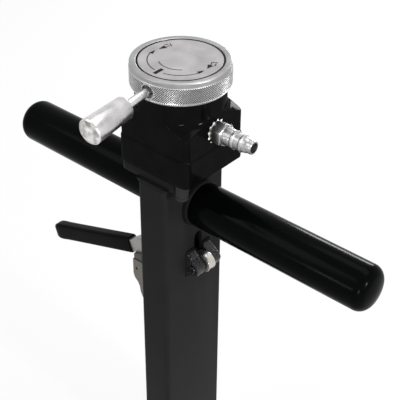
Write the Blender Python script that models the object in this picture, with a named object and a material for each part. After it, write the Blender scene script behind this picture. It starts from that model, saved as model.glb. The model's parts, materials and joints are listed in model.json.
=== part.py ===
"""Head of the control handle of an air-hydraulic floor jack.

The handle column carries a cast head with a turning control knob, a T-bar with two grips, an air inlet
and a hand lever that lifts the latch rod. +Z runs up the column, X along the T-bar, and the origin is
the middle of the column's foot. Run it with blender --background --python part.py.
"""
import math

import bmesh
import bpy
from mathutils import Matrix, Vector

for old in list(bpy.data.objects):
    bpy.data.objects.remove(old, do_unlink=True)

MM = 0.001

# Driving dimensions of the structure
GAP = 0.3 * MM                  # between pieces that touch
RUNNING_GAP = 0.35 * MM         # round pins and rods that move
COLUMN_LENGTH = 325.0 * MM
COLUMN_WIDTH = 30.0 * MM        # along the T-bar
COLUMN_DEPTH = 73.0 * MM
COLUMN_WALL = 3.0 * MM
COLUMN_CORNER = 4.5 * MM
PLATE_SIZE = 68.4 * MM          # along the column's depth
PLATE_LEFT = 35.4 * MM          # from the column's centre to the plate's edge on the lever's side
PLATE_RIGHT = 27.0 * MM         # and on the side of the air inlet
PLATE_THICKNESS = 8.0 * MM
PLATE_CORNER = 6.0 * MM
PLATE_OPENING_WIDTH = 21.0 * MM
PLATE_OPENING_RIM = 2.7 * MM    # of plate in front of the opening and behind it
PLATE_OPENING_DEPTH = PLATE_SIZE - 2 * PLATE_OPENING_RIM
PLATE_OPENING_CORNER = 4.0 * MM

# Cast head
HEAD_SIZE = 72.8 * MM           # along the T-bar
HEAD_SLIMMER = 3.4 * MM         # the head is this much less deep than wide
HEAD_DEPTH = HEAD_SIZE - HEAD_SLIMMER
HEAD_HEIGHT = 67.9 * MM
HEAD_CORNER = 5.5 * MM
FLANGE_HEIGHT = 23.4 * MM
FLANGE_STEP = 0.8 * MM          # the flange stands this far out of the upper block
FLANGE_CHAMFER = 1.0 * MM
SHOULDER_HEIGHT = 43.4 * MM     # where the corners end and the shelves start
SHELF_RISE = 6.2 * MM           # from a corner's end up to the neck
NECK_RADIUS = 36.2 * MM
NECK_FILLET = 2.5 * MM
MAIN_BORE_RADIUS = 14.5 * MM
MAIN_BORE_DEPTH = 54.1 * MM
POCKET_DEPTH = 19.0 * MM
SILENCER_RADIUS = 5.2 * MM      # exhaust silencer under the head's near corner
SILENCER_HEIGHT = 13.3 * MM
SILENCER_INSET_X = 9.4 * MM     # from the flange's side to its axis
SILENCER_INSET_Y = 5.5 * MM
SILENCER_STUD_RADIUS = 3.0 * MM
SILENCER_STUD_LENGTH = 8.0 * MM
SILENCER_SPACE = 2.0 * MM       # from it to the nearest screw's cap
HEAD_SCREW_INSET = 9.5 * MM     # from the plate's left edges to a screw's axis
HEAD_SCREW_INSET_RIGHT = 6.5 * MM
HEAD_SCREW_RADIUS = 3.0 * MM
HEAD_SCREW_LENGTH = 20.0 * MM
SCREW_CAP_RADIUS = 5.0 * MM
SCREW_CAP_HEIGHT = 5.0 * MM
SCREW_SOCKET_RADIUS = 2.6 * MM
SCREW_SOCKET_DEPTH = 2.6 * MM
DUST_SEAL_RADIUS = 18.0 * MM
DUST_SEAL_WIDTH = 2.4 * MM
DUST_SEAL_HEIGHT = 1.8 * MM

# Knob, spindle and cam
KNOB_RADIUS = 40.0 * MM
KNOB_HEIGHT = 20.0 * MM
KNOB_CLEARANCE = 0.5 * MM       # over the head
KNOB_TOP_CHAMFER = 1.4 * MM
KNOB_FOOT_CHAMFER = 1.2 * MM
KNOB_BAND_STEP = 0.5 * MM       # the plain bands lie this far inside the knurled one
KNOB_TOP_BAND = 4.6 * MM
KNOB_FOOT_BAND = 2.4 * MM
DIAL_RADIUS = 33.4 * MM
DIAL_THICKNESS = 1.2 * MM
DIAL_RECESS = 1.9 * MM
KNOB_SCREW_RADIUS = 3.0 * MM
KNOB_SCREW_LENGTH = 14.0 * MM
SPINDLE_RADIUS = 6.0 * MM
SPINDLE_SQUARE = 8.0 * MM
SPINDLE_FOOT = 10.4 * MM        # the spindle's foot above the head's underside
SPINDLE_COLLAR_RADIUS = 9.0 * MM
SPINDLE_COLLAR_HEIGHT = 2.0 * MM
BUSH_RADIUS = 9.0 * MM
BUSH_FLANGE_RADIUS = 12.0 * MM
BUSH_FLANGE_HEIGHT = 2.0 * MM
CAM_PIN_RADIUS = 2.5 * MM
CAM_PIN_HEIGHT = 26.4 * MM      # above the head's underside
CAM_LEAD = 4.3 * MM             # sleeve travel for each radian of the knob
CAM_TURN = math.radians(80)     # to each side of neutral
CAM_SLOT_SPARE = math.radians(27)
SLEEVE_RADIUS = 11.5 * MM
SLEEVE_RIM = 2.4 * MM           # metal above and below the cam slots
ARM_THICKNESS = 3.5 * MM
ARM_RADIUS = 6.0 * MM
ARM_CLEARANCE = 0.5 * MM
ARM_HUB_RADIUS = 13.0 * MM
COIL_WIRE = 1.2 * MM
COIL_RADIUS = 10.6 * MM
COIL_TURNS = 2
COIL_PITCH = 1.5 * MM

# Tommy handle of the knob
TOMMY_TURN = math.radians(3)    # from -Y towards +X
TOMMY_DROOP = math.radians(4.5)
TOMMY_DEPTH = 11.0 * MM         # of its axis under the knob's top, at the rim
TOMMY_ROD_RADIUS = 3.6 * MM
TOMMY_ROD_SEAT = 17.0 * MM      # length of rod inside the knob
TOMMY_ROD_FREE = 22.0 * MM      # length of rod in sight
TOMMY_MOUTH_RADIUS = 5.4 * MM
TOMMY_MOUTH_DEPTH = 3.0 * MM
TOMMY_GRIP_LENGTH = 41.0 * MM
TOMMY_GRIP_INNER_RADIUS = 9.0 * MM
TOMMY_GRIP_OUTER_RADIUS = 10.4 * MM
TOMMY_GRIP_BORE_DEPTH = 18.0 * MM
TOMMY_GRIP_CHAMFER = 1.0 * MM
TOMMY_COLLAR_RADIUS = 5.4 * MM
TOMMY_COLLAR_LENGTH = 2.5 * MM

# Air valve and hose
INLET_HEIGHT = 39.1 * MM        # above the head's underside
INLET_HEX_FLATS = 17.0 * MM
INLET_HEX_LENGTH = 9.5 * MM
INLET_LENGTH = 36.0 * MM        # from the washer to the tip
INLET_THREAD_RADIUS = 5.6 * MM
INLET_THREAD_LENGTH = 8.0 * MM
INLET_TIP_RADIUS = 5.5 * MM
INLET_BORE_RADIUS = 4.3 * MM
INLET_BORE_DEPTH = 12.0 * MM
INLET_PASSAGE_RADIUS = 2.6 * MM
WASHER_RADIUS = 9.6 * MM
WASHER_THICKNESS = 1.0 * MM
SPOOL_RADIUS = 4.2 * MM
SPOOL_LENGTH = 31.5 * MM
SPOOL_GROOVE_RADIUS = 2.9 * MM
SPOOL_TRAVEL_SPARE = 1.5 * MM
SPOOL_WALL = 0.6 * MM           # between the inlet's thread and the spool's bore
SPOOL_OFFSET = (HEAD_SIZE / 2 - FLANGE_STEP - INLET_THREAD_LENGTH - GAP - SPOOL_WALL - SPOOL_RADIUS - GAP)
HOSE_RADIUS = 5.0 * MM
HOSE_TO_WALL = 9.5 * MM         # from the hose's axis to the column's inside
HOSE_TO_OPENING = 7.5 * MM      # and to the end of the plate's opening
HOSE_OFFSET = min(COLUMN_DEPTH / 2 - COLUMN_WALL - HOSE_TO_WALL, PLATE_OPENING_DEPTH / 2 - HOSE_TO_OPENING)
OUTLET_PORT_RADIUS = 3.8 * MM
OUTLET_STUD_LENGTH = 10.0 * MM
OUTLET_HEX_FLATS = 11.0 * MM
OUTLET_HEX_LENGTH = 7.0 * MM
HOSE_FITTING_LENGTH = 22.0 * MM
HOSE_FITTING_FOOT = 6.0 * MM

# T-bar
SIDE_PLANE = 4.0 * MM           # the T-bar and the lever lie this far behind the column's centre
BAR_DROP = 31.4 * MM            # from the column's top to the bar's axis
BAR_RADIUS = 13.0 * MM
BAR_WALL = 2.5 * MM
BAR_SHORTFALL = 9.0 * MM        # the bar ends this far inside a grip's end
GRIP_REACH = 188.7 * MM         # from the column's centre to a grip's end
GRIP_RADIUS = 19.2 * MM
GRIP_END_ROUND = 9.5 * MM
GRIP_ROOT_ROUND = 1.5 * MM
COLLAR_RADIUS = 20.2 * MM
COLLAR_THICKNESS = 4.0 * MM
COLLAR_ROUND = 1.0 * MM

# Hand lever, its pivot and its rest
PIVOT_X = 22.0 * MM
PIVOT_DROP = 91.2 * MM          # from the column's top
PIVOT_PIN_RADIUS = 3.0 * MM
PIVOT_PIN_BORE = 1.5 * MM
PIVOT_PIN_LENGTH = 32.0 * MM
LEVER_SLOPE = math.radians(18.2)
LEVER_NOSE_RADIUS = 9.8 * MM
LEVER_SHEET = 1.4 * MM
LEVER_WIDTH = 8.0 * MM
LEVER_CHEEK_DEPTH = 11.0 * MM   # inside the column
LEVER_ROOT_DEPTH = 12.0 * MM    # behind the column and inside the grip
LEVER_ROOT_LENGTH = 20.4 * MM
LEVER_CROWN = 3.0 * MM          # of the top edge before the grip
LEVER_CROWN_LENGTH = 11.4 * MM  # from the crown's peak to the grip
LEVER_ROOT_REACH = 86.4 * MM    # from the pivot to the top of the grip's mouth, along X
LEVER_TANG_LENGTH = 30.0 * MM
LEVER_GRIP_LENGTH = 113.3 * MM
LEVER_GRIP_SIDE = 1.4 * MM      # of grip beside the lever
LEVER_GRIP_CROWN = 2.15 * MM    # of grip above and below the lever
LEVER_GRIP_CORNER = 3.0 * MM
LEVER_GRIP_BEND = math.radians(18.9)
LEVER_LIFT = math.radians(15)
EAR_RADIUS = 7.0 * MM
EAR_THICKNESS = 10.0 * MM
EAR_RISE = 14.0 * MM            # of the ear's root above the pivot
EAR_FALL = 11.0 * MM
EAR_BEVEL = 1.2 * MM
SLOT_SPARE = 0.7 * MM           # beside the lever, in the column's slots
FRONT_SLOT_TOP = 61.7 * MM      # under the column's top
FRONT_SLOT_FOOT = 102.5 * MM
REAR_SLOT_TOP = 79.5 * MM
REAR_SLOT_FOOT = 110.0 * MM
BRACKET_DROP = 125.5 * MM       # from the column's top to the bracket's shelf
BRACKET_REACH = 42.0 * MM
BRACKET_WIDTH = 14.0 * MM
BRACKET_SHEET = 2.0 * MM
BRACKET_HEIGHT = 60.0 * MM
BRACKET_LIP_HEIGHT = 17.0 * MM
BRACKET_HOLE_RADIUS = 1.5 * MM
BRACKET_HOLE_INSET = 4.6 * MM
BRACKET_HOLE_DROP = 9.5 * MM
STOP_PAD_LENGTH = 10.0 * MM
STOP_PAD_WIDTH = 12.0 * MM
STOP_PAD_INSET = 0.3 * MM       # from the shelf's tip to the pad

# Rods in the column
LATCH_X = -2.0 * MM
LATCH_ROD_RADIUS = 2.2 * MM
LATCH_PIN_RADIUS = 1.8 * MM
LATCH_PIN_LENGTH = 10.0 * MM
LATCH_PIN_DROP = 5.5 * MM       # of its axis under the pivot
LATCH_SLOT_SPARE = 0.45 * MM
LATCH_ROD_TOP = 3.2 * MM        # of rod above the pin
ROD_FOOT = 12.0 * MM            # height of the rods' feet
CONTROL_ROD_TO_WALL = 11.5 * MM # from its axis to the column's inside
CONTROL_ROD_TO_OPENING = 9.5 * MM
CONTROL_ROD_OFFSET = min(COLUMN_DEPTH / 2 - COLUMN_WALL - CONTROL_ROD_TO_WALL,
                         PLATE_OPENING_DEPTH / 2 - CONTROL_ROD_TO_OPENING)
CONTROL_ROD_RADIUS = 3.0 * MM
CONTROL_NUT_FLATS = 9.0 * MM
CONTROL_NUT_HEIGHT = 4.0 * MM
GUIDE_HEIGHT = 20.0 * MM
GUIDE_MIDDLE = 152.0 * MM
FOOT_GUIDE_HEIGHT = 18.0 * MM
FOOT_GUIDE_MIDDLE = 47.0 * MM
GUIDE_SCREW_RADIUS = 2.5 * MM
GUIDE_SCREW_CAP = 4.2 * MM
GUIDE_SCREW_CAP_HEIGHT = 2.6 * MM
GUIDE_SCREW_LENGTH = 9.0 * MM
GUIDE_SCREW_PITCH = 11.0 * MM
SPRING_LENGTH = 40.0 * MM
SPRING_WIRE = 1.2 * MM
SPRING_RADIUS = 4.2 * MM
SPRING_TURNS = 5
SPRING_COLLAR_RADIUS = 5.4 * MM
SPRING_COLLAR_HEIGHT = 5.0 * MM

LARGE_ROUND = 40                # sides of the knob and the neck
ROUND = 28                      # sides of other turned pieces
SMALL_ROUND = 16                # sides of pins and rods
SCREW_ROUND = 12

# Heights that follow from them
PLATE_FOOT = COLUMN_LENGTH + GAP
PLATE_TOP = PLATE_FOOT + PLATE_THICKNESS
HEAD_FOOT = PLATE_TOP + GAP
HEAD_TOP = HEAD_FOOT + HEAD_HEIGHT
KNOB_FOOT = HEAD_TOP + KNOB_CLEARANCE
KNOB_TOP = KNOB_FOOT + KNOB_HEIGHT
BAR_Z = COLUMN_LENGTH - BAR_DROP
PIVOT_Z = COLUMN_LENGTH - PIVOT_DROP
FACE_X = COLUMN_WIDTH / 2
CAM_PIN_Z = HEAD_FOOT + CAM_PIN_HEIGHT
CAM_TRAVEL = CAM_LEAD * CAM_TURN
CAM_SLOT_HALF = (CAM_PIN_RADIUS + RUNNING_GAP) / math.cos(math.atan(CAM_LEAD / SPINDLE_RADIUS))
SLEEVE_HALF = CAM_LEAD * (CAM_TURN + CAM_SLOT_SPARE) + CAM_SLOT_HALF + SLEEVE_RIM
SLEEVE_FOOT = CAM_PIN_Z - SLEEVE_HALF
ARM_FOOT = SLEEVE_FOOT - ARM_THICKNESS
BUSH_FOOT = HEAD_FOOT + MAIN_BORE_DEPTH + GAP
LATCH_PIN_Z = PIVOT_Z - LATCH_PIN_DROP
GUIDE_FOOT = GUIDE_MIDDLE - GUIDE_HEIGHT / 2
FOOT_GUIDE_FOOT = FOOT_GUIDE_MIDDLE - FOOT_GUIDE_HEIGHT / 2


def finish(name, colour, roughness, metallic=0.0):
    """One surface finish as a Principled material; colour is linear."""
    made = bpy.data.materials.new(name)
    made.use_nodes = True
    shader = made.node_tree.nodes["Principled BSDF"]
    shader.inputs["Base Color"].default_value = (*colour, 1.0)
    shader.inputs["Roughness"].default_value = roughness
    shader.inputs["Metallic"].default_value = metallic
    made.diffuse_color = (*colour, 1.0)
    return made


PAINTED_STEEL = finish("painted_steel", (0.024, 0.024, 0.026), 0.5)
PAINTED_CASTING = finish("painted_casting", (0.012, 0.012, 0.013), 0.35)
TURNED_ALUMINIUM = finish("turned_aluminium", (0.62, 0.62, 0.62), 0.3, 1.0)
DIAL_ALUMINIUM = finish("dial_aluminium", (0.55, 0.53, 0.54), 0.45, 0.6)
PLATED_STEEL = finish("plated_steel", (0.5, 0.49, 0.47), 0.3, 1.0)
BARE_STEEL = finish("bare_steel", (0.35, 0.35, 0.36), 0.35, 1.0)
BRONZE = finish("bronze", (0.35, 0.2, 0.08), 0.4, 1.0)
GRIP_PLASTIC = finish("grip_plastic", (0.008, 0.009, 0.009), 0.25)
RUBBER = finish("rubber", (0.01, 0.01, 0.01), 0.7)
NYLON = finish("nylon", (0.6, 0.58, 0.52), 0.5)


def keep(name, mesh, material, at=(0, 0, 0), parent=None, turn=None, smooth=40):
    """Puts a mesh in the scene as one named piece; at is its place in the world."""
    piece = bpy.data.objects.new(name, mesh)
    bpy.context.scene.collection.objects.link(piece)
    mesh.materials.clear()
    mesh.materials.append(material)
    mesh.shade_smooth()
    mesh.set_sharp_from_angle(angle=math.radians(smooth))
    if parent:
        piece.parent = parent
        piece.location = Vector(at) - parent.location
    else:
        piece.location = at
    if turn is not None:
        piece.rotation_mode = "QUATERNION"
        piece.rotation_quaternion = turn
    return piece


def cutter(name, mesh, at=(0, 0, 0), turn=None, parent=None):
    """A tool body that cuts or joins a piece and isn't a piece itself."""
    tool = keep("tool_" + name, mesh, PAINTED_STEEL, at, parent, turn)
    tool.hide_render = True
    tool.display_type = "WIRE"
    return tool


def combine(piece, tool, operation="DIFFERENCE"):
    """Adds a Boolean of the tool to the piece."""
    made = piece.modifiers.new(tool.name, "BOOLEAN")
    made.operation = operation
    made.object = tool
    return piece


def mesh_of(form, name):
    bmesh.ops.recalc_face_normals(form, faces=form.faces)
    mesh = bpy.data.meshes.new(name)
    form.to_mesh(mesh)
    form.free()
    return mesh


def turned(profile, sides=ROUND, closed=False):
    """Mesh of (radius, height) points turned about Z. A closed profile is a ring's section."""
    form = bmesh.new()
    corners = [form.verts.new((radius, 0, height)) for radius, height in profile]
    runs = zip(corners, corners[1:] + corners[:1]) if closed else zip(corners, corners[1:])
    edges = [form.edges.new(pair) for pair in runs]
    bmesh.ops.spin(form, geom=corners + edges, cent=(0, 0, 0), axis=(0, 0, 1), angle=math.tau, steps=round(sides))
    bmesh.ops.remove_doubles(form, verts=form.verts, dist=1e-6)
    return mesh_of(form, "turned")


def rod(radius, foot, top, sides=SMALL_ROUND):
    """Plain round bar along Z."""
    return turned([(0, top), (radius, top), (radius, foot), (0, foot)], sides)


def ring(inner, outer, foot, top, sides=ROUND):
    """Plain round ring or tube along Z."""
    return turned([(outer, top), (outer, foot), (inner, foot), (inner, top)], sides, closed=True)


def rounded(width, depth, radius, steps=4):
    """Outline of a rectangle with round corners, about the origin, anticlockwise."""
    points = []
    for index, (side_x, side_y) in enumerate(((1, 1), (-1, 1), (-1, -1), (1, -1))):
        middle = Vector((side_x * (width / 2 - radius), side_y * (depth / 2 - radius)))
        for step in range(steps + 1):
            angle = math.radians(90) * (index + step / steps)
            points.append(middle + Vector((math.cos(angle), math.sin(angle))) * radius)
    return points


def capsule(start, end, radius, steps=7):
    """Outline of a bar with round ends between two points."""
    start, end = Vector(start), Vector(end)
    heading = math.atan2(end.y - start.y, end.x - start.x)
    points = []
    for middle, first in ((end, heading - math.pi / 2), (start, heading + math.pi / 2)):
        for step in range(steps + 1):
            angle = first + math.pi * step / steps
            points.append(middle + Vector((math.cos(angle), math.sin(angle))) * radius)
    return points


def polygon(sides, across_flats):
    """Outline of a regular polygon such as a hexagon or a square, a flat side facing X."""
    radius = across_flats / 2 / math.cos(math.pi / sides)
    angles = [math.tau * (step + 0.5) / sides for step in range(sides)]
    return [Vector((math.cos(angle), math.sin(angle))) * radius for angle in angles]


def prism(outline, foot, top):
    """Mesh of a flat outline drawn up from foot to top."""
    form = bmesh.new()
    face = form.faces.new([form.verts.new((point[0], point[1], foot)) for point in outline])
    lifted = bmesh.ops.extrude_face_region(form, geom=[face])["geom"]
    corners = [item for item in lifted if isinstance(item, bmesh.types.BMVert)]
    bmesh.ops.translate(form, vec=(0, 0, top - foot), verts=corners)
    return mesh_of(form, "prism")


def loft(sections):
    """Mesh through a row of closed sections with equal numbers of points, capped at both ends."""
    form = bmesh.new()
    rings = [[form.verts.new(point) for point in section] for section in sections]
    for near, far in zip(rings, rings[1:]):
        for index in range(len(near)):
            after = (index + 1) % len(near)
            form.faces.new((near[index], near[after], far[after], far[index]))
    form.faces.new(rings[0])
    form.faces.new(rings[-1])
    return mesh_of(form, "loft")


def coil(name, radius, wire, turns, foot, top, material, parent=None, at=(0, 0, 0), per_turn=9):
    """Round wire wound about Z from foot to top."""
    curve = bpy.data.curves.new(name, "CURVE")
    curve.dimensions = "3D"
    count = round(turns * per_turn) + 1
    spline = curve.splines.new("POLY")
    spline.points.add(count - 1)
    for index in range(count):
        angle = math.tau * index / per_turn
        height = foot + wire / 2 + (top - foot - wire) * index / (count - 1)
        spline.points[index].co = (radius * math.cos(angle), radius * math.sin(angle), height, 1)
    curve.bevel_depth = wire / 2
    curve.bevel_resolution = 1
    curve.use_fill_caps = True
    piece = bpy.data.objects.new(name, curve)
    bpy.context.scene.collection.objects.link(piece)
    curve.materials.append(material)
    if parent:
        piece.parent = parent
        piece.location = Vector(at) - parent.location
    else:
        piece.location = at
    return piece


def axis_empty(name, at):
    """Empty on a joint's axis, which carries the pieces that move with it."""
    empty = bpy.data.objects.new(name, None)
    bpy.context.scene.collection.objects.link(empty)
    empty.location = at
    return empty


ALONG_X = Vector((0, 0, 1)).rotation_difference(Vector((1, 0, 0)))
ALONG_Y = Matrix.Rotation(math.radians(-90), 4, "X").to_quaternion()
SIDEWAYS = Matrix.Rotation(math.radians(90), 4, "X").to_quaternion()  # outline X, Y becomes X, Z


def screw(name, radius, length, cap_radius, cap_height, socket, socket_depth, at, turn=None, parent=None):
    """Socket screw: its cap's underside lies at the origin and its shank runs up."""
    profile = [(0, length), (radius, length), (radius, 0),
               (cap_radius, 0), (cap_radius, 0.2 * cap_height - cap_height),
               (cap_radius - 0.2 * cap_height, -cap_height), (0, -cap_height)]
    piece = keep(name, turned(profile, SCREW_ROUND), PLATED_STEEL, at, parent, turn)
    recess = cutter(name + "_socket", prism(polygon(6, socket * 2), -cap_height - MM, socket_depth - cap_height),
                    at, turn, parent)
    return combine(piece, recess)


def column():
    """Rectangular tube with a bore for the T-bar and a slot on each side for the lever."""
    outer = rounded(COLUMN_WIDTH, COLUMN_DEPTH, COLUMN_CORNER)
    inner = rounded(COLUMN_WIDTH - 2 * COLUMN_WALL, COLUMN_DEPTH - 2 * COLUMN_WALL, COLUMN_CORNER - COLUMN_WALL)
    tube = keep("column_tube", prism(outer, 0, COLUMN_LENGTH), PAINTED_STEEL)
    combine(tube, cutter("column_bore", prism(inner, -MM, COLUMN_LENGTH + MM)))
    bore = rod(BAR_RADIUS + GAP, -COLUMN_WIDTH, COLUMN_WIDTH, ROUND)
    combine(tube, cutter("bar_bore", bore, (0, SIDE_PLANE, BAR_Z), ALONG_X))
    width = LEVER_WIDTH + 2 * SLOT_SPARE
    for name, side, top, foot in (("rear", -1, REAR_SLOT_TOP, REAR_SLOT_FOOT),
                                  ("front", 1, FRONT_SLOT_TOP, FRONT_SLOT_FOOT)):
        low = COLUMN_LENGTH - foot + width / 2
        high = COLUMN_LENGTH - top - width / 2
        slot = prism(capsule((low, 0), (high, 0), width / 2), -COLUMN_WALL, COLUMN_WALL)
        turn = Matrix(((0, 0, 1), (0, 1, 0), (-1, 0, 0))).inverted().to_quaternion()
        place = (side * (FACE_X - COLUMN_WALL / 2), SIDE_PLANE, 0)
        combine(tube, cutter(name + "_slot", slot, place, turn))
    for height, pitch in ((GUIDE_MIDDLE, GUIDE_SCREW_PITCH), (FOOT_GUIDE_MIDDLE, 0)):
        for step in ((-0.5, 0.5) if pitch else (0,)):
            hole = rod(GUIDE_SCREW_RADIUS + GAP, -COLUMN_WALL, COLUMN_WALL)
            place = (COLUMN_WALL / 2 - FACE_X, SIDE_PLANE, height + step * pitch)
            combine(tube, cutter("guide_screw_hole", hole, place, ALONG_X))


def head_screw_places():
    """Axes of the head's four screws; the right pair keeps clear of the exhaust silencer."""
    left = (HEAD_SCREW_INSET - PLATE_LEFT, PLATE_SIZE / 2 - HEAD_SCREW_INSET)
    right = (PLATE_RIGHT - HEAD_SCREW_INSET_RIGHT,
             HEAD_DEPTH / 2 - SILENCER_INSET_Y - SILENCER_RADIUS - SCREW_CAP_RADIUS - SILENCER_SPACE)
    return [(x, side * y) for x, y in (left, right) for side in (-1, 1)]


def silencer_place():
    return (HEAD_SIZE / 2 - SILENCER_INSET_X, SILENCER_INSET_Y - HEAD_DEPTH / 2, 0)


def top_plate():
    """Plate on the column's top, which the head is screwed to from below; it stops short on the inlet's side."""
    shift = Vector(((PLATE_RIGHT - PLATE_LEFT) / 2, 0))
    outline = [point + shift for point in rounded(PLATE_LEFT + PLATE_RIGHT, PLATE_SIZE, PLATE_CORNER)]
    plate = keep("top_plate", prism(outline, PLATE_FOOT, PLATE_TOP), PAINTED_STEEL)
    opening = rounded(PLATE_OPENING_WIDTH, PLATE_OPENING_DEPTH, PLATE_OPENING_CORNER)
    combine(plate, cutter("plate_opening", prism(opening, PLATE_FOOT - MM, PLATE_TOP + MM)))
    notch = rod(SILENCER_RADIUS + 2 * GAP, PLATE_FOOT - MM, PLATE_TOP + MM, ROUND)
    combine(plate, cutter("plate_notch", notch, silencer_place()))
    seat = SCREW_CAP_HEIGHT + GAP
    for index, (x, y) in enumerate(head_screw_places()):
        profile = [(0, PLATE_THICKNESS + MM), (HEAD_SCREW_RADIUS + GAP, PLATE_THICKNESS + MM),
                   (HEAD_SCREW_RADIUS + GAP, seat), (SCREW_CAP_RADIUS + GAP, seat),
                   (SCREW_CAP_RADIUS + GAP, -MM), (0, -MM)]
        combine(plate, cutter("plate_hole_%d" % index, turned(profile, SCREW_ROUND), (x, y, PLATE_FOOT)))
        screw("head_screw_%d" % (index + 1), HEAD_SCREW_RADIUS, HEAD_SCREW_LENGTH, SCREW_CAP_RADIUS,
              SCREW_CAP_HEIGHT - GAP, SCREW_SOCKET_RADIUS, SCREW_SOCKET_DEPTH, (x, y, PLATE_FOOT + SCREW_CAP_HEIGHT))


def arm_shapes(spare, foot, top):
    """Hub and two arms of the sleeve's foot, or of the pocket it slides in when spare is its clearance."""
    yield "hub", rod(ARM_HUB_RADIUS + spare, foot, top, ROUND)
    for tag, end in (("rod_arm", (0, -CONTROL_ROD_OFFSET)), ("spool_arm", (SPOOL_OFFSET, 0))):
        yield tag, prism(capsule((0, 0), end, ARM_RADIUS + spare), foot, top)


def head():
    """Cast head: flange, block whose corners slope into the round neck, and its bores."""
    upper_width = HEAD_SIZE - 2 * FLANGE_STEP
    upper_depth = HEAD_DEPTH - 2 * FLANGE_STEP
    flange_top = HEAD_FOOT + FLANGE_HEIGHT
    steps = [(0, HEAD_FOOT), (0, flange_top - FLANGE_CHAMFER), (FLANGE_STEP, flange_top)]
    sections = []
    for inset, height in steps:
        outline = rounded(HEAD_SIZE - 2 * inset, HEAD_DEPTH - 2 * inset, HEAD_CORNER - inset)
        sections.append([(point.x, point.y, height) for point in outline])
    casting = keep("head_housing", loft(sections), PAINTED_CASTING)

    upper = rounded(upper_width, upper_depth, HEAD_CORNER - FLANGE_STEP)
    block = cutter("head_block", prism(upper, flange_top - FLANGE_CHAMFER, HEAD_TOP))
    shoulder = HEAD_FOOT + SHOULDER_HEIGHT
    neck = shoulder + SHELF_RISE
    corner = math.hypot(upper_width / 2 - HEAD_CORNER, upper_depth / 2 - HEAD_CORNER) + HEAD_CORNER
    slope = (corner - NECK_RADIUS) / SHELF_RISE
    profile = [(0, HEAD_TOP), (NECK_RADIUS, HEAD_TOP)]
    profile += [(NECK_RADIUS, neck + NECK_FILLET), (NECK_RADIUS + 0.3 * NECK_FILLET, neck + 0.4 * NECK_FILLET),
                (NECK_RADIUS + NECK_FILLET, neck - NECK_FILLET / slope)]
    profile += [(NECK_RADIUS + slope * 2 * SHELF_RISE, neck - 2 * SHELF_RISE),
                (NECK_RADIUS + slope * 2 * SHELF_RISE, HEAD_FOOT), (0, HEAD_FOOT)]
    combine(block, cutter("head_shoulders", turned(profile, LARGE_ROUND)), "INTERSECT")
    combine(casting, block, "UNION")

    roof = HEAD_FOOT + MAIN_BORE_DEPTH
    flange_seat = HEAD_TOP - BUSH_FLANGE_HEIGHT - GAP
    bore = [(0, HEAD_TOP + MM), (BUSH_FLANGE_RADIUS + GAP, HEAD_TOP + MM), (BUSH_FLANGE_RADIUS + GAP, flange_seat),
            (BUSH_RADIUS + GAP, flange_seat), (BUSH_RADIUS + GAP, roof), (MAIN_BORE_RADIUS, roof),
            (MAIN_BORE_RADIUS, HEAD_FOOT - MM), (0, HEAD_FOOT - MM)]
    combine(casting, cutter("main_bore", turned(bore)))
    for tag, shape in arm_shapes(ARM_CLEARANCE, HEAD_FOOT - MM, HEAD_FOOT + POCKET_DEPTH):
        combine(casting, cutter("pocket_" + tag, shape))
    spool_top = SLEEVE_FOOT + GAP + SPOOL_LENGTH + CAM_TRAVEL + SPOOL_TRAVEL_SPARE
    combine(casting, cutter("spool_bore", rod(SPOOL_RADIUS + GAP, HEAD_FOOT, spool_top), (SPOOL_OFFSET, 0, 0)))
    inlet_z = HEAD_FOOT + INLET_HEIGHT
    face = upper_width / 2
    thread = [(0, face + MM), (INLET_THREAD_RADIUS + GAP, face + MM),
              (INLET_THREAD_RADIUS + GAP, face - INLET_THREAD_LENGTH - GAP),
              (INLET_PASSAGE_RADIUS, face - INLET_THREAD_LENGTH - GAP),
              (INLET_PASSAGE_RADIUS, SPOOL_OFFSET), (0, SPOOL_OFFSET)]
    combine(casting, cutter("inlet_port", turned(thread, SMALL_ROUND), (0, 0, inlet_z), ALONG_X))
    port = rod(OUTLET_PORT_RADIUS, HEAD_FOOT - MM, HEAD_FOOT + OUTLET_STUD_LENGTH + MM)
    combine(casting, cutter("outlet_port", port, (0, HOSE_OFFSET, 0)))
    groove = ring(DUST_SEAL_RADIUS - DUST_SEAL_WIDTH - GAP, DUST_SEAL_RADIUS + GAP, HEAD_TOP - DUST_SEAL_HEIGHT,
                  HEAD_TOP + MM)
    combine(casting, cutter("seal_groove", groove))
    for index, (x, y) in enumerate(head_screw_places()):
        depth = HEAD_SCREW_LENGTH - (PLATE_THICKNESS - SCREW_CAP_HEIGHT) + MM
        hole = rod(HEAD_SCREW_RADIUS + GAP, HEAD_FOOT - MM, HEAD_FOOT + depth, SCREW_ROUND)
        combine(casting, cutter("screw_hole_%d" % index, hole, (x, y, 0)))
    hole = rod(SILENCER_STUD_RADIUS + GAP, HEAD_FOOT - MM, HEAD_FOOT + SILENCER_STUD_LENGTH + MM, SCREW_ROUND)
    combine(casting, cutter("silencer_hole", hole, silencer_place()))


def exhaust_silencer():
    """Round silencer screwed into the head's underside, where the valve's air leaves."""
    top = HEAD_FOOT - GAP
    foot = top - SILENCER_HEIGHT
    edge = SILENCER_RADIUS / 4
    profile = [(0, HEAD_FOOT + SILENCER_STUD_LENGTH), (SILENCER_STUD_RADIUS, HEAD_FOOT + SILENCER_STUD_LENGTH),
               (SILENCER_STUD_RADIUS, top), (SILENCER_RADIUS, top), (SILENCER_RADIUS, foot + edge),
               (SILENCER_RADIUS - 0.3 * edge, foot + 0.4 * edge), (SILENCER_RADIUS - edge, foot), (0, foot)]
    keep("exhaust_silencer", turned(profile, 20), PAINTED_STEEL, silencer_place())


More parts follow.
